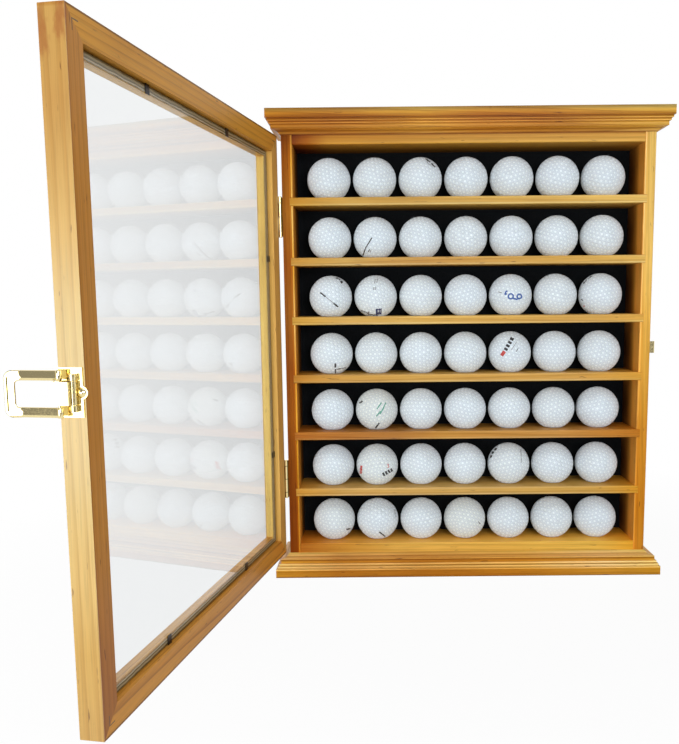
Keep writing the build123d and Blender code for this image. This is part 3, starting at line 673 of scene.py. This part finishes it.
# ---------------------------------------------------------------- latch
# The loop is a stamped plate drawn about its pin: x away from the pin, y out of its flat, z up
LOOP_ARM, LOOP_END, LOOP_OPENING = 5.7 * MM, 5.9 * MM, 14.8 * MM
LOOP_REACH, LOOP_THICKNESS = 32.0 * MM, 1.2 * MM
LOOP_CORNER, WINDOW_CORNER = 4.4 * MM, 2.0 * MM
# The end bar is bent out by so many degrees, over a short width
LOOP_BEND_AT, LOOP_BEND, BEND_HALF_WIDTH = 23.1 * MM, 15.0, 0.7 * MM
# Each arm leans back above its crease and turns under below it
CREASE, ARM_LEAN, FOOT_LEAN = 1.3 * MM, 0.20, 0.45
BARREL_OUTER = 1.6 * MM
# A line of painted shade runs along the end bar
LINE_LOW, LINE_HIGH, LINE_HALF = LOOP_REACH - 2.2 * MM, LOOP_REACH - 1.3 * MM, 9.5 * MM
# The loop's middle is below the place of its joint
LOOP_DROP = 0.25 * MM


def rounded_frame(plate, far, half_height, corner):
    """A rectangle from x = 0 to far whose two far corners are rounded, as one face."""
    corners = [plate.verts.new((x, 0, z)) for x, z in (
        (0, -half_height), (far, -half_height), (far, half_height), (0, half_height))]
    plate.faces.new(corners)
    bmesh.ops.bevel(
        plate, geom=corners[1:3], offset=corner, offset_type="OFFSET", segments=6, profile=0.5,
        affect="VERTICES", material=-1)


def bevel_edges(shape, edges, width, segments):
    bmesh.ops.bevel(shape, geom=edges, offset=width, offset_type="OFFSET", segments=segments,
                    profile=0.5, affect="EDGES", material=-1)


def latch_loop():
    half = LOOP_OPENING / 2 + LOOP_ARM
    arm_middle = (LOOP_OPENING + LOOP_ARM) / 2
    plate = bmesh.new()
    rounded_frame(plate, LOOP_REACH, half, LOOP_CORNER)
    window = bmesh.new()
    rounded_frame(window, LOOP_REACH - LOOP_END, LOOP_OPENING / 2, WINDOW_CORNER)
    # The window runs out past the pin's end of the plate
    bmesh.ops.translate(window, vec=(-1.0 * MM, 0, 0),
                        verts=[v for v in window.verts if v.co.x < 0.1 * MM])
    for shape, low, high in ((plate, -0.5, 0.5), (window, -2.0, 2.0)):
        bmesh.ops.translate(shape, vec=(0, low * LOOP_THICKNESS, 0), verts=shape.verts[:])
        grown = bmesh.ops.extrude_face_region(shape, geom=shape.faces[:])["geom"]
        fresh = [item for item in grown if isinstance(item, bmesh.types.BMVert)]
        bmesh.ops.translate(shape, vec=(0, (high - low) * LOOP_THICKNESS, 0), verts=fresh)
        bmesh.ops.recalc_face_normals(shape, faces=shape.faces[:])
    loop = cut_with(plate, window)
    rims = [edge for edge in loop.edges if edge.is_manifold and edge.calc_face_angle(0) > 1.0
            and abs(edge.verts[0].co.y - edge.verts[1].co.y) < 0.01 * MM]
    bevel_edges(loop, rims, 0.55 * MM, 3)
    for place, way in (((LINE_LOW, 0, 0), (1, 0, 0)), ((LINE_HIGH, 0, 0), (1, 0, 0)),
                       ((0, 0, LINE_HALF), (0, 0, 1)), ((0, 0, -LINE_HALF), (0, 0, 1))):
        slice_at(loop, place, way)
    loop.normal_update()
    # Painted shade: the line along the end bar and the outer side faces of the end bar take the
    # dark second brass
    for face in loop.faces:
        middle = face.calc_center_median()
        facing_out = face.normal.y > 0.95
        in_line = facing_out and LINE_LOW < middle.x < LINE_HIGH and abs(middle.z) < LINE_HALF
        on_side = abs(face.normal.y) < 0.95 and middle.x > LOOP_BEND_AT
        outer = middle.x > LOOP_REACH - 1.0 * MM or abs(middle.z) > half - 1.0 * MM
        face.material_index = 1 if in_line or (on_side and outer) else 0
    for step in (-1, 0, 1):
        slice_at(loop, (LOOP_BEND_AT + step * BEND_HALF_WIDTH, 0, 0), (1, 0, 0))
    for side in (-1, 1):
        slice_at(loop, (0, 0, side * arm_middle - CREASE), (0, 0, 1))
    for vertex in loop.verts:
        across = vertex.co.z - (arm_middle if vertex.co.z > 0 else -arm_middle)
        along_arm = (LOOP_BEND_AT + BEND_HALF_WIDTH - vertex.co.x) / (2 * BEND_HALF_WIDTH)
        leant = ARM_LEAN * across
        if across <= -CREASE:
            leant = -ARM_LEAN * CREASE - FOOT_LEAN * (across + CREASE)
        vertex.co.y -= leant * min(max(along_arm, 0), 1)
    bent = radians(LOOP_BEND)
    for vertex in loop.verts:
        beyond = vertex.co.x - LOOP_BEND_AT
        if beyond > 0:
            lift = vertex.co.y
            vertex.co.x = LOOP_BEND_AT + beyond * cos(bent) - lift * sin(bent)
            vertex.co.y = beyond * sin(bent) + lift * cos(bent)
    # Rolled barrels round the pin at the foot of each arm
    for side in (-1, 1):
        made = bmesh.ops.create_cone(
            loop, cap_ends=True, segments=24, radius1=BARREL_OUTER, radius2=BARREL_OUTER,
            depth=LOOP_ARM, matrix=Matrix.Translation((0, 0, side * arm_middle)))
        rims = [e for v in made["verts"] for e in v.link_edges
                if abs(e.verts[0].co.z - e.verts[1].co.z) < 0.01 * MM and len(e.link_faces) == 2]
        bevel_edges(loop, list(dict.fromkeys(rims)), 0.3 * MM, 2)
    for face in loop.faces:
        face.smooth = face.calc_area() < 6 * MM * MM
    return loop


# The lever is covered by a folded strip: (mm towards the door's front, mm outwards) from its pin.
# It starts past the pin, so that it clears the plate when the lever is thrown
COVER_FOLD = [(0.1, 2.1), (0.15, 4.1), (0.5, 4.7), (10.9, 4.7)]
COVER_HALF_HEIGHT, COVER_THICKNESS = 6.4, 0.4 * MM


def lever_cover():
    strip = bmesh.new()
    low, high = [[strip.verts.new((along * MM, out * MM, up * MM)) for along, out in COVER_FOLD]
                 for up in (-COVER_HALF_HEIGHT, COVER_HALF_HEIGHT)]
    for step in range(len(COVER_FOLD) - 1):
        strip.faces.new((low[step], low[step + 1], high[step + 1], high[step]))
    strip.normal_update()
    bmesh.ops.solidify(strip, geom=strip.faces[:], thickness=-COVER_THICKNESS)
    bmesh.ops.recalc_face_normals(strip, faces=strip.faces[:])
    return strip


door_turn = radians(DOOR_OPEN)
latch_axes = Matrix((
    (-sin(door_turn), cos(door_turn), 0, 0), (-cos(door_turn), -sin(door_turn), 0, 0),
    (0, 0, 1, 0), (0, 0, 0, 1)))


def placed(shape, pin):
    """Moves a shape that is drawn about a pin of the latch to where that pin is."""
    bmesh.ops.transform(shape, matrix=Matrix.Translation(pin) @ latch_axes, verts=shape.verts[:])
    return shape


loop_pin = joint_place("latch_bail_swing") - Vector((0, 0, LOOP_DROP))
# The dark brass paints shade on the loop's end bar
brass_painted_shade = metal("brass_painted_shade", (0.06, 0.054, 0.016, 1), 0.25, 0.3)
add_piece("latch_loop", placed(latch_loop(), loop_pin), [brass, brass_painted_shade],
          "latch_bail", "latch_bail")
add_piece("latch_lever_cover", placed(lever_cover(), joint_place("latch_lever_throw")), [brass],
          "latch_lever", None)


# ---------------------------------------------------------------- golf balls


ICOSAHEDRON_CUTS = 5
# How much of the way to its neighbours a dimple takes up, in percent
DIMPLE_SHARE = 44
# A dimple is cut in two steps, a steep lip and a shallow floor: (width, depth, painted shade)
DIMPLE_STEPS = [(0.34 * MM, 0.22 * MM, 1.0), (0.55 * MM, 0.18 * MM, 0.0)]
LAND_PAINTED_SHADE = 0.32
# A print is cut into cells, dropped onto the ball and left just clear of its cover
PRINT_CELL, DROPPED_FROM, PRINT_LIFT = 0.4 * MM, 30 * MM, 0.08 * MM
DIGIT_HEIGHT, INK_SPREAD, DOT_CORNERS = 4.0 * MM, 1.2, 16


def dimpled_ball(radius):
    """A ball with a dimple round each point of a finely divided icosahedron."""
    ball = bmesh.new()
    bmesh.ops.create_icosphere(ball, subdivisions=1, radius=radius)
    bmesh.ops.subdivide_edges(ball, edges=ball.edges[:], cuts=ICOSAHEDRON_CUTS, use_grid_fill=True)
    for vertex in ball.verts:
        vertex.co = vertex.co.normalized() * radius
    centres = [vertex.co.copy() for vertex in ball.verts]
    bmesh.ops.bevel(
        ball, geom=ball.verts[:], offset=DIMPLE_SHARE, offset_type="PERCENT", segments=1,
        profile=0.5, affect="VERTICES", material=-1, clamp_overlap=False)
    ball.faces.ensure_lookup_table()
    tree = BVHTree.FromBMesh(ball)
    dimples = [ball.faces[tree.find_nearest(centre)[2]] for centre in centres]
    # Each six-sided dimple gets six more corners, and all of them move onto a circle
    rims = list(dict.fromkeys(edge for face in dimples for edge in face.edges))
    bmesh.ops.subdivide_edges(ball, edges=rims, cuts=1)
    for face in dimples:
        middle = face.calc_center_median()
        reach = max((vertex.co - middle).length for vertex in face.verts)
        for vertex in face.verts:
            vertex.co = middle + (vertex.co - middle).normalized() * reach
    for vertex in ball.verts:
        vertex.co = vertex.co.normalized() * radius
    # Painted shade: greyest at the foot of each dimple's lip, lighter on the land, none at the
    # middle of its floor
    dimple_shade = ball.verts.layers.float.new("dimple_shade")
    for vertex in ball.verts:
        vertex[dimple_shade] = LAND_PAINTED_SHADE
    for width, depth, step_shade in DIMPLE_STEPS:
        bmesh.ops.inset_individual(ball, faces=dimples, thickness=width, depth=-depth)
        for face in dimples:
            for vertex in face.verts:
                vertex[dimple_shade] = step_shade
    for face in ball.faces:
        face.smooth = True
    ball.normal_update()
    return ball


def digit(figure):
    """A plain figure as a flat mesh."""
    curve = bpy.data.curves.new("digit", "FONT")
    curve.body = figure
    curve.align_x = "CENTER"
    curve.align_y = "CENTER"
    holder = as_object("digit", curve)
    flat = bpy.data.meshes.new_from_object(holder)
    bpy.data.objects.remove(holder)
    shape = bmesh.new()
    shape.from_mesh(flat)
    bpy.data.meshes.remove(flat)
    bmesh.ops.remove_doubles(shape, verts=shape.verts[:], dist=0.001)
    heights = [vertex.co.y for vertex in shape.verts]
    tall = DIGIT_HEIGHT / (max(heights) - min(heights))
    bmesh.ops.scale(shape, vec=(tall, tall, tall), verts=shape.verts[:])
    return shape


def bar(length, width):
    shape = bmesh.new()
    bmesh.ops.create_grid(shape, x_segments=2, y_segments=1, size=0.5)
    bmesh.ops.scale(shape, vec=(length * MM, width * INK_SPREAD * MM, 1), verts=shape.verts[:])
    return shape


def dot(width):
    shape = bmesh.new()
    bmesh.ops.create_circle(shape, cap_ends=True, radius=width * MM / 2, segments=DOT_CORNERS)
    return shape


def ring(width, hole):
    shape = dot(width)
    bmesh.ops.inset_individual(shape, faces=shape.faces[:], thickness=(width - hole) * MM / 2)
    inner = [face for face in shape.faces if len(face.verts) == DOT_CORNERS]
    bmesh.ops.delete(shape, geom=inner, context="FACES")
    return shape


def lay_on_ball(row, shape, skin, where, turn, look, ink_index, centre):
    """Cuts a flat print into small faces and drops it onto the ball's own surface."""
    across, up = where
    bmesh.ops.rotate(
        shape, cent=(0, 0, 0), matrix=Matrix.Rotation(radians(turn), 3, "Z"), verts=shape.verts[:])
    bmesh.ops.translate(shape, vec=(across * MM, up * MM, 0), verts=shape.verts[:])
    for axis, way in ((0, Vector((1, 0, 0))), (1, Vector((0, 1, 0)))):
        cells = [vertex.co[axis] / PRINT_CELL for vertex in shape.verts]
        for step in range(int(min(cells) // 1) + 1, int(max(cells) // 1) + 1):
            slice_at(shape, way * step * PRINT_CELL, way)
    bmesh.ops.triangulate(shape, faces=shape.faces[:])
    for vertex in shape.verts:
        flat = Vector((vertex.co.x, vertex.co.y, 0))
        flat = flat * min(1.0, 0.98 * BALL_RADIUS / max(flat.length, 0.1 * MM))
        flat.z = sqrt(BALL_RADIUS ** 2 - flat.length_squared)
        start = look @ flat.normalized() * DROPPED_FROM
        hit = skin.ray_cast(start, -start.normalized())[0]
        vertex.co = hit + start.normalized() * PRINT_LIFT
    for face in shape.faces:
        face.material_index = ink_index
        face.smooth = True
    bmesh.ops.translate(shape, vec=centre, verts=shape.verts[:])
    merge_into(row, shape)


ROWS, BALLS_IN_ROW = 7, 7
first_low, first_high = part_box("golf_balls_row_1")
BALL_RADIUS = (first_high[2] - first_low[2]) / 2
BALL_PITCH = (first_high[0] - first_low[0] - 2 * BALL_RADIUS) / (BALLS_IN_ROW - 1)

INKS = [ink(name + "_ink", colour + (1,)) for name, colour in (
    ("black", (0.02, 0.02, 0.025)), ("blue", (0.05, 0.13, 0.42)), ("red", (0.55, 0.05, 0.04)),
    ("green", (0.10, 0.36, 0.27)), ("grey", (0.30, 0.32, 0.34)), ("navy", (0.02, 0.03, 0.16)))]
BLACK, BLUE, RED, GREEN, GREY, NAVY = range(1, 7)
# Where the marked balls are looked at from
VIEWPOINT = Vector((-0.08842, -0.82149, 0.27684))

# Plain marks: (row from the floor, column): list of
# (shape in mm, ink, where across and up in mm as seen from the viewpoint, turn in degrees)
MARKS = {
    (7, 3): [
        (bar(6, 1.3), BLACK, (7.6, 18.2), -40), (bar(5.5, 1.1), BLACK, (12.8, 13.6), -43),
        (bar(9, 0.5), GREY, (9, 14.4), -41)
    ],
    (6, 2): [
        (bar(9.5, 0.9), BLACK, (-10.8, -12.2), 68), (bar(11.5, 0.9), BLACK, (-6.2, -3.6), 57),
        (bar(3.4, 0.7), BLACK, (-6.3, -11.4), 62), (bar(3.4, 0.7), GREY, (-4.6, -11.8), 62)
    ],
    (5, 1): [
        (bar(6.4, 1.3), BLACK, (-7.8, 2.6), -39), (bar(6, 1.3), BLACK, (4.8, -7.8), -39),
        (bar(11, 0.6), GREY, (-1.4, -2.6), -39), (bar(5, 1), BLACK, (7.6, 18.4), -28),
        (bar(2.6, 1.6), BLACK, (11, 15), -40)
    ],
    (5, 2): [
        (bar(8.6, 0.8), BLACK, (-11.2, -15), -20), (bar(3.8, 0.9), BLACK, (-7.1, -16.4), 88),
        (bar(6.8, 0.8), BLACK, (-3.4, -18), -6), (bar(8.4, 1.5), NAVY, (1, -16), 90),
        (bar(7, 0.9), NAVY, (3.4, -15), 84), (bar(6.4, 0.9), NAVY, (5.2, -14.6), 84),
        (bar(5, 0.9), NAVY, (3, -12.6), 8), (bar(5, 0.9), NAVY, (3.2, -16.4), 4),
        (bar(5, 0.7), GREY, (-0.5, 15.5), 80), (bar(4, 0.7), GREY, (1.6, 15.8), 80),
        (bar(3.2, 0.7), GREY, (-1.8, 8.2), 84), (bar(3.2, 0.7), GREY, (-0.2, 8.2), 84)
    ],
    (5, 5): [
        (ring(6.4, 3.4), BLUE, (0.6, -0.8), 0), (ring(6, 2.6), BLUE, (9, -1), 0),
        (bar(5, 1.4), BLUE, (5, -3.4), -18), (dot(2.6), BLUE, (-4.4, 1.6), 0),
        (bar(3, 1.2), BLUE, (-4, 3.8), 30), (bar(4, 0.8), GREY, (-10, 3.2), -15)
    ],
    (5, 7): [
        (bar(5, 1), BLACK, (-14.8, 13.2), 50), (bar(5, 1), BLACK, (-9.8, 17.4), 36),
        (bar(2.6, 0.9), BLACK, (-16.8, -5.4), -60), (dot(1.5), RED, (-15, -11.2), 0)
    ],
    (4, 1): [
        (bar(4.6, 1.4), BLACK, (3.4, -11.6), 90), (bar(4.4, 1.1), BLACK, (3.4, -17.4), 88),
        (bar(9.5, 0.7), BLACK, (9.2, -14.8), 6), (bar(3, 0.8), GREY, (12.6, -16.6), 20)
    ],
    (4, 5): [
        (bar(5.4, 2.8), RED, (-6.4, -1.2), 58), (bar(2.4, 3.2), BLACK, (-3.6, 3.2), 60),
        (bar(2.4, 3.2), BLACK, (-1.7, 6.5), 60), (bar(2.4, 3.2), BLACK, (0.2, 9.8), 60),
        (bar(3, 3.2), BLACK, (2.2, 13.4), 60), (bar(9, 0.5), GREY, (4.2, 6.2), 57),
        (digit("1"), BLACK, (7.4, 2.2), -30)
    ],
    (3, 2): [
        (bar(8, 1), GREEN, (2.5, 3.6), 55), (bar(8, 1), GREEN, (5.2, -1.4), 60),
        (bar(7, 1), GREEN, (1.6, -4.4), 50), (bar(6, 0.9), GREEN, (8, 4.2), 65),
        (bar(7, 1.2), BLACK, (0.4, -16.4), 53), (bar(4, 1.2), BLACK, (-16, 7.6), 35)
    ],
    (2, 2): [
        (bar(8.5, 2), RED, (-16.8, -5.4), 86), (bar(2, 3), BLACK, (6.4, -10.2), 27),
        (bar(2, 3), BLACK, (9.2, -8.8), 27), (bar(2, 3), BLACK, (12, -7.4), 27),
        (bar(2, 2.8), BLACK, (14.6, -6), 27), (digit("3"), RED, (11, -1.8), 12)
    ],
    (2, 5): [
        (bar(3, 1.6), BLACK, (-17.8, 6.4), 70), (bar(3, 1.6), BLACK, (-16.2, 10.4), 60),
        (bar(3.4, 1.6), BLACK, (-13.2, 14), 42), (bar(14, 0.6), GREY, (12.8, 8), -87)
    ],
    (1, 1): [
        (bar(3.8, 1.2), BLACK, (14, -11), 4), (bar(2.6, 0.6), BLACK, (17, -10.6), 15)
    ],
    (1, 2): [
        (bar(8.4, 1), BLACK, (4.6, -16.4), -39), (bar(8, 0.7), GREY, (18.2, 5), -80)
    ],
    (1, 4): [(bar(3, 0.7), BLACK, (15.2, -5), -50)],
}
# How old a ball looks where it isn't nearly new
OLD_BALLS = {(3, 2): 0.7, (2, 2): 0.5, (1, 4): 0.6, (7, 3): 0.1, (5, 2): 0.15, (2, 3): 0.1,
             (2, 5): 0.25, (6, 1): 0.0, (1, 1): 0.3}


def ball_row(number, template, cover):
    """One row of seven balls, each turned its own way, with its prints."""
    low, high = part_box(f"golf_balls_row_{number}")
    centre_y = (low[1] + high[1]) / 2
    centre_z = (low[2] + high[2]) / 2
    row = bmesh.new()
    row.verts.layers.float.new("dimple_shade")
    row.verts.layers.float.new("age")
    for column in range(1, BALLS_IN_ROW + 1):
        centre = Vector((low[0] + BALL_RADIUS + (column - 1) * BALL_PITCH, centre_y, centre_z))
        seed = number * BALLS_IN_ROW + column
        spin = Euler((seed * 0.83, seed * 1.57, seed * 2.41)).to_matrix()
        ball = bmesh.new()
        ball.from_mesh(template)
        bmesh.ops.rotate(ball, cent=(0, 0, 0), matrix=spin, verts=ball.verts[:])
        skin = BVHTree.FromBMesh(ball)
        out = (VIEWPOINT - centre).normalized()
        right = Vector((0, 0, 1)).cross(out).normalized()
        look = Matrix((right, out.cross(right), out)).transposed()
        for shape, colour, where, turn in MARKS.get((number, column), []):
            lay_on_ball(row, shape, skin, where, turn, look, colour, centre)
        bmesh.ops.translate(ball, vec=centre, verts=ball.verts[:])
        before = len(row.verts)
        merge_into(row, ball)
        row.verts.ensure_lookup_table()
        age = row.verts.layers.float["age"]
        for vertex in row.verts[before:]:
            vertex[age] = OLD_BALLS.get((number, column), (seed * 37 % 11) / 60)
    add_piece(f"ball_row_{number}", row, [cover, *INKS], "case", f"golf_balls_row_{number}")


ball_template = as_mesh("ball_template", dimpled_ball(BALL_RADIUS))
golf_cover = ball_cover()
for row_number in range(1, ROWS + 1):
    ball_row(row_number, ball_template, golf_cover)
bpy.data.meshes.remove(ball_template)


# ---------------------------------------------------------------- studio


def looked_through(tree):
    """1 for the rays that come from the camera, also through the clear sheet, else 0."""
    rays = node(tree, "ShaderNodeLightPath").outputs
    return maths(tree, "MAXIMUM", rays["Is Camera Ray"], rays["Is Transmission Ray"])


def white_for_view(tree):
    """1 for the rays that look at the background, and 0 for those that light the object."""
    rays = node(tree, "ShaderNodeLightPath").outputs
    return maths(tree, "MAXIMUM", looked_through(tree), rays["Is Glossy Ray"])


world = bpy.data.worlds.new("studio_air")
bpy.context.scene.world = world
world.use_nodes = True
air = world.node_tree
air.nodes.clear()
room, white, dusk = [
    node(air, "ShaderNodeBackground", {"Color": colour, "Strength": strength}).outputs[0]
    for colour, strength in (((0.95, 0.97, 1.0, 1), 0.16), ((1, 1, 1, 1), 1.0),
                             ((0.30, 0.30, 0.31, 1), 1.0))]
# The studio behind the camera is dim, which gives the brass its dark bands
heading = node(air, "ShaderNodeTexCoord").outputs["Generated"]
behind = stretch(air, axes(air, heading)["Y"], -0.10, -0.45)
mirrored = maths(air, "SUBTRACT", behind, looked_through(air), use_clamp=True)
backdrop = node(air, "ShaderNodeMixShader", {0: mirrored, 1: white, 2: dusk}).outputs[0]
sky = node(air, "ShaderNodeMixShader", {0: white_for_view(air), 1: room, 2: backdrop})
node(air, "ShaderNodeOutputWorld", {"Surface": sky.outputs["Shader"]})

FLOOR_HALF, FLOOR_MIDDLE = 2.5, (0, 1.55, -0.3 * MM)
floor_shape = bmesh.new()
bmesh.ops.create_grid(floor_shape, x_segments=1, y_segments=1, size=FLOOR_HALF)
bmesh.ops.translate(floor_shape, vec=FLOOR_MIDDLE, verts=floor_shape.verts[:])
floor = as_object("floor", as_mesh("floor", floor_shape))
floor_material, floor_tree = new_material("white_floor")
matt = node(floor_tree, "ShaderNodeBsdfDiffuse", {"Color": (0.6, 0.6, 0.6, 1)})
glow = node(floor_tree, "ShaderNodeEmission", {"Color": (1, 1, 1, 1), "Strength": 1.0})
# A soft shadow shows only close to the case
far_off = vector_maths(floor_tree, "LENGTH", object_place(floor_tree))
clean = stretch(floor_tree, far_off, 0.26, 0.60, 0.96, 1.0)
fade = maths(floor_tree, "MULTIPLY", white_for_view(floor_tree), clean)
lit = node(floor_tree, "ShaderNodeMixShader", {
    0: fade, 1: matt.outputs["BSDF"], 2: glow.outputs["Emission"]})
finish_material(floor_tree, lit.outputs["Shader"])
floor.data.materials.append(floor_material)


def softbox(name, at, aim, width, height, power):
    """A rectangular lamp. The clear sheet doesn't show it."""
    lamp = bpy.data.lights.new(name, "AREA")
    lamp.shape = "RECTANGLE"
    lamp.size = width
    lamp.size_y = height
    lamp.energy = power
    holder = as_object(name, lamp)
    holder.location = at
    holder.rotation_euler = (Vector(aim) - Vector(at)).to_track_quat("-Z", "Y").to_euler()
    holder.visible_transmission = False


softbox("key_light", (0.22, -1.42, 0.48), (0.0, 0.0, 0.22), 0.7, 0.6, 8.3)
softbox("fill_light", (-0.74, -1.20, 0.13), (-0.1, -0.1, 0.20), 0.75, 0.42, 5.2)
softbox("top_light", (0.1, -0.75, 1.50), (0.0, -0.1, 0.2), 0.9, 0.7, 3.3)
softbox("back_light", (-0.15, 1.45, 0.75), (0.0, 0.0, 0.22), 1.0, 0.7, 5.0)

# The camera stands where the photograph's did: focal length and centre of view in pixels,
# turns in degrees
FOCAL_PX, CENTRE_X, CENTRE_Y = 807.35, 378.22, 400.85
WIDTH_PX, HEIGHT_PX = 679, 744
LOOK_DOWN, LOOK_LEFT, ROLL = 7.17, 0.02, -0.54
SENSOR = 36.0
lens = bpy.data.cameras.new("camera")
lens.sensor_width = SENSOR
lens.lens = FOCAL_PX / HEIGHT_PX * SENSOR
lens.shift_x = (WIDTH_PX / 2 - CENTRE_X) / HEIGHT_PX
lens.shift_y = (CENTRE_Y - HEIGHT_PX / 2) / HEIGHT_PX
lens.clip_start = 0.02
camera = as_object("camera", lens)
aim = Euler((radians(90 - LOOK_DOWN), 0, radians(LOOK_LEFT))).to_matrix()
turned_to = (aim @ Matrix.Rotation(radians(ROLL), 3, "Z")).to_4x4()
camera.matrix_world = Matrix.Translation(VIEWPOINT) @ turned_to
bpy.context.scene.camera = camera
bpy.context.scene.view_settings.view_transform = "Standard"
